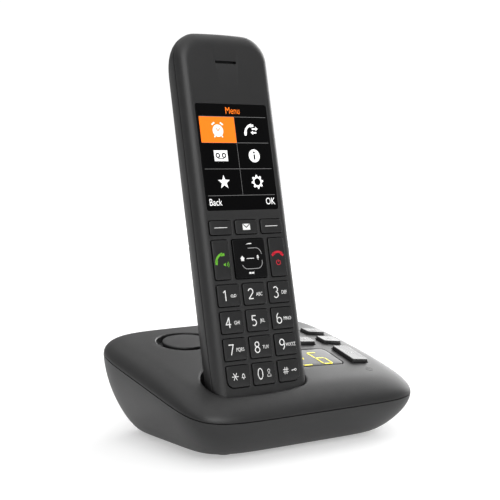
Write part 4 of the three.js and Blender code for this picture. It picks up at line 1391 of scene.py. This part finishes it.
class PHONE_OT_handset_keys(bpy.types.Operator):
    """Eighteen keys of the handset with their legends"""

    bl_idname = "phone.handset_keys"
    bl_label = "Handset keys"

    def execute(self, context):
        top = handset().key_height
        for name, middle, half_x, half_y, radii in keypad():
            profile = [(0.05, -2.4), (0, -0.1)] + fillet(0, top, 0.22, 3)
            if name == "navigation_key":
                profile += [(0.8, top - 0.02), (2.2, top - 0.12), (4.0, top - 0.12)]
            cap = prism(name + "_cap", box_outline(half_x, half_y, radii, 5), profile)
            cap.data.materials.append(gloss_black() if name == "navigation_key" else key_plastic())
            legend = digit_legend(name[10:]) if name.startswith("digit_key_") else call_legend(name)
            sunk = 0.13 if name == "navigation_key" else 0.02
            for plate in legend:
                place(plate, Matrix.Translation((0, 0, top - sunk)))
            cap = join(name + "_cap", [cap] + legend)
            slot = "navigation_gloss" if name == "navigation_key" else "key_plastic"
            dress(place(cap, FACE @ Matrix.Translation((*middle, 0))), None, name)
        return {"FINISHED"}


def menu_signs():
    """Loops of the six menu signs, each about its own middle and some 5 mm across."""
    clock = [[disc(0, -0.35, 1.95, 30)], [line(arc(0, -0.35, 2.75, 42, 68, 6), 0.5)],
             [line(arc(0, -0.35, 2.75, 112, 138, 6), 0.5)],
             [line([(-1.2, -1.9), (-1.55, -2.45)], 0.4)], [line([(1.2, -1.9), (1.55, -2.45)], 0.4)]]
    call = [[[(x - 0.7, y + 0.2) for x, y in loop] for loop in group] for group in receiver(0.7)]
    call += [[[(0.3, 0.1), (1.7, 0.1), (1.7, -0.3), (2.6, 0.4), (1.7, 1.1), (1.7, 0.6), (0.3, 0.6)]],
             [[(1.9, -1.1), (0.6, -1.1), (0.6, -1.5), (-0.3, -0.85), (0.6, -0.2), (0.6, -0.6), (1.9, -0.6)]]]
    tape = [[rect(-2.5, 2.5, -1.7, 1.7), disc(-1.15, 0.1, 0.85, 18), disc(1.15, 0.1, 0.85, 18),
             rect(-1.15, 1.15, -1.05, -0.8)], [disc(-1.15, 0.1, 0.42, 14)], [disc(1.15, 0.1, 0.42, 14)]]
    letter_i = [[disc(0, 0, 2.1, 30), rect(-0.3, 0.3, -1.2, 0.45), disc(0, 1.05, 0.36, 12)]]
    star = [[[((2.3 if i % 2 == 0 else 0.95) * math.sin(i * math.pi / 5),
               (2.3 if i % 2 == 0 else 0.95) * math.cos(i * math.pi / 5)) for i in range(10)]]]
    teeth = []
    for i in range(32):
        radius = 2.25 if i % 4 in (0, 1) else 1.65
        turn = 2 * math.pi * i / 32
        teeth.append((radius * math.cos(turn), radius * math.sin(turn)))
    gear = [[teeth, disc(0, 0, 1.15, 20)]]
    return [clock, call, tape, letter_i, star, gear]


class PHONE_OT_screen(bpy.types.Operator):
    """Window of the handset with its lit menu"""

    bl_idname = "phone.screen"
    bl_label = "Screen"

    def execute(self, context):
        middle = Vector((0, (WINDOW["bottom"] + WINDOW["top"]) / 2))
        half_y = (WINDOW["top"] - WINDOW["bottom"]) / 2
        outline = box_outline(WINDOW["half_x"], half_y, WINDOW["radius"], 5, middle)
        pane = prism("window_pane", outline, [(0, -1.2)] + fillet(0, 0, 0.12, 3))
        dress(place(pane, FACE), screen_black(), "display_window")
        white = lit("screen_white", (0.8, 0.8, 0.8), 0.55)
        orange = lit("screen_accent", finish().accent, 0.5)
        rule = lit("screen_rule", (0.1, 0.1, 0.1), 0.6)
        picture = []
        left, right, centre = -16.4, 16.4, 0.55
        rows = [120.6, 109.8, 99.0, 88.1]
        for y in rows:
            picture.append(sign("rule", [[rect(left, right, y - 0.1, y + 0.1)]], 0.02, rule))
        picture.append(sign("rule", [[rect(centre - 0.08, centre + 0.08, rows[3], rows[0])]], 0.02, rule))
        picture.append(sign("chosen_field", [[rect(left, centre, rows[1], rows[0] - 0.1)]], 0.03, orange))
        picture.append(words("title", finish().title, 2.9, orange, (0.3, 123.1), 0.03))
        picture.append(words("choice_left", "Back", 2.9, white, (left + 0.2, 85.3), 0.03, "LEFT"))
        picture.append(words("choice_right", "OK", 2.9, white, (right - 0.2, 85.3), 0.03, "RIGHT"))
        for index, groups in enumerate(menu_signs()):
            x = (left + centre) / 2 if index % 2 == 0 else (right + centre) / 2
            y = (rows[index // 2] + rows[index // 2 + 1]) / 2
            picture.append(sign(f"menu_{index}", groups, 0.03, white, shift=(x, y), size=1.3, height=0.03))
        hands = [[line([(-0.8, 0.55), (0, -0.4), (0.8, 0.4)], 0.3)]]
        here = ((left + centre) / 2, (rows[0] + rows[1]) / 2)
        picture.append(sign("clock_hands", hands, 0.03, orange, shift=here, size=1.3, height=0.05))
        picture = join("screen_picture", picture)
        place(picture, Matrix.Translation((0, 0, 0.005)))
        dress(place(picture, FACE), None, body="handset")
        return {"FINISHED"}


class PHONE_OT_inner_parts(bpy.types.Operator):
    """Finishes for the inner pieces that keep their CAD shape"""

    bl_idname = "phone.inner_parts"
    bl_label = "Inner parts"

    def execute(self, context):
        finishes = {
            "lcd_module": gloss_black(), "counter_module": gloss_black(), "keypad_mat": grey_silicone(),
            "handset_circuit_board": green_board(), "control_board": green_board(),
            "base_circuit_board": green_board(), "earpiece_speaker": plain_steel(),
            "ringer_speaker": plain_steel(), "microphone": plain_steel(), "base_loudspeaker": plain_steel(),
            "battery_contact_lower": plain_steel(), "battery_contact_upper": plain_steel(),
            "handset_screw": plain_steel(),
            "charging_pad_left": plated_contact(), "charging_pad_right": plated_contact(),
            "cradle_contact_left": plated_contact(), "cradle_contact_right": plated_contact(),
        }
        for node, chosen in finishes.items():
            coat(node, chosen)
        return {"FINISHED"}


# ------------------------------------------------------------------ stage


def area_light(name, place_at, aim, size, power, tint=(1, 1, 1)):
    deselect()
    bpy.ops.object.light_add(type="AREA", location=place_at)
    light = bpy.context.active_object
    light.name = name
    light.data.shape = "RECTANGLE"
    light.data.size, light.data.size_y = size
    light.data.energy = power
    light.data.color = tint
    light.rotation_euler = (Vector(aim) - Vector(place_at)).to_track_quat("-Z", "Y").to_euler()
    return light


def studio_world():
    """A white studio: bright overhead and behind the object, dimmer in front of it, plain white in view."""
    world = bpy.data.worlds.new("studio")
    world.use_nodes = True
    tree = world.node_tree
    place = add_node(tree, "ShaderNodeTexCoord")
    split = add_node(tree, "ShaderNodeSeparateXYZ")
    along = add_node(tree, "ShaderNodeVectorMath", {"operation": "DOT_PRODUCT"})
    along.inputs[1].default_value = (0.574, 0.819, 0)
    wall = add_node(tree, "ShaderNodeMapRange", From_Min=-0.75, From_Max=0.8, To_Min=0.32, To_Max=0.4)
    ceiling = add_node(tree, "ShaderNodeMapRange", From_Min=0.25, From_Max=0.9, To_Min=0.0, To_Max=0.15)
    total = add_node(tree, "ShaderNodeMath", {"operation": "ADD"})
    path = add_node(tree, "ShaderNodeLightPath")
    chosen = add_node(tree, "ShaderNodeMapRange", To_Max=1.05)
    tree.links.new(place.outputs["Generated"], along.inputs[0])
    tree.links.new(place.outputs["Generated"], split.inputs[0])
    tree.links.new(along.outputs["Value"], wall.inputs["Value"])
    tree.links.new(split.outputs["Z"], ceiling.inputs["Value"])
    tree.links.new(wall.outputs[0], total.inputs[0])
    tree.links.new(ceiling.outputs[0], total.inputs[1])
    tree.links.new(path.outputs["Is Camera Ray"], chosen.inputs["Value"])
    tree.links.new(total.outputs[0], chosen.inputs["To Min"])
    tree.links.new(chosen.outputs[0], tree.nodes["Background"].inputs["Strength"])
    tree.nodes["Background"].inputs["Color"].default_value = (1, 1, 1, 1)
    return world


def studio_floor():
    """A white table that glows, more so far away, to stay white in view; the object mirrors less of it."""
    made = material("studio_floor", (0.66, 0.66, 0.66), 0.9, spread=0.02, Emission_Color=(1, 1, 1, 1))
    tree = made.node_tree
    place_node = add_node(tree, "ShaderNodeTexCoord")
    distance = add_node(tree, "ShaderNodeVectorMath", {"operation": "LENGTH"})
    seen = add_node(tree, "ShaderNodeMapRange", From_Min=0.12, From_Max=1.0, To_Min=0.42, To_Max=0.8)
    path = add_node(tree, "ShaderNodeLightPath")
    glow = add_node(tree, "ShaderNodeMapRange", To_Min=0.27)
    tree.links.new(place_node.outputs["Object"], distance.inputs[0])
    tree.links.new(distance.outputs["Value"], seen.inputs["Value"])
    tree.links.new(path.outputs["Is Camera Ray"], glow.inputs["Value"])
    tree.links.new(seen.outputs[0], glow.inputs["To Max"])
    tree.links.new(glow.outputs[0], tree.nodes["Principled BSDF"].inputs["Emission Strength"])
    return made


class PHONE_OT_stage(bpy.types.Operator):
    """Pale floor, soft studio lights and the camera"""

    bl_idname = "phone.stage"
    bl_label = "Stage"

    def execute(self, context):
        deselect()
        bpy.ops.mesh.primitive_plane_add(size=8, location=(0, 0, 0))
        floor = context.active_object
        floor.name = "floor"
        floor.data.materials.append(studio_floor())
        context.scene.world = studio_world()
        area_light("right_softbox", (1.3, 0.55, 0.62), (0, 0, 0.04), (1.4, 1.1), 16.5)
        area_light("front_softbox", (-0.45, -1.3, 0.9), (0, 0, 0.05), (1.4, 0.8), 13)
        area_light("ceiling_softbox", (-0.1, 0.1, 2.2), (0, 0, 0), (3.6, 3.6), 28)
        deselect()
        bpy.ops.object.camera_add(location=(-0.2968, -0.4186, 0.1175))
        camera = context.active_object
        camera.rotation_euler = Vector((0.5719, 0.8169, -0.0747)).to_track_quat("-Z", "Y").to_euler()
        camera.data.sensor_width = 36
        camera.data.lens = 86.3
        camera.data.clip_start = 0.01
        context.scene.camera = camera
        context.scene.view_settings.view_transform = "Standard"
        return {"FINISHED"}


OPERATORS = (
    PHONE_OT_stage, PHONE_OT_base_top, PHONE_OT_base_bottom, PHONE_OT_base_fittings,
    PHONE_OT_speaker_cover, PHONE_OT_counter, PHONE_OT_base_keys, PHONE_OT_handset_front,
    PHONE_OT_handset_rear, PHONE_OT_handset_keys, PHONE_OT_screen, PHONE_OT_inner_parts,
)


class PHONE_PT_panel(bpy.types.Panel):
    """Buttons that build the telephone piece by piece"""

    bl_idname = "PHONE_PT_panel"
    bl_label = "Cordless Telephone"
    bl_space_type = "VIEW_3D"
    bl_region_type = "UI"
    bl_category = "Telephone"

    def draw(self, context):
        for operator in OPERATORS:
            self.layout.operator(operator.bl_idname)
        for group in (context.scene.phone_handset, context.scene.phone_base, context.scene.phone_finish):
            box = self.layout.box()
            for name in group.bl_rna.properties.keys():
                if name not in ("rna_type", "name"):
                    box.prop(group, name)


CLASSES = (HandsetSizes, BaseSizes, PhoneFinish, *OPERATORS, PHONE_PT_panel)


def register():
    for entry in CLASSES:
        bpy.utils.register_class(entry)
    bpy.types.Scene.phone_handset = PointerProperty(type=HandsetSizes)
    bpy.types.Scene.phone_base = PointerProperty(type=BaseSizes)
    bpy.types.Scene.phone_finish = PointerProperty(type=PhoneFinish)


def unregister():
    del bpy.types.Scene.phone_finish
    del bpy.types.Scene.phone_base
    del bpy.types.Scene.phone_handset
    for entry in reversed(CLASSES):
        bpy.utils.unregister_class(entry)


def main():
    register()
    for operator in OPERATORS:
        group, name = operator.bl_idname.split(".")
        getattr(getattr(bpy.ops, group), name)()


if __name__ == "__main__":
    main()
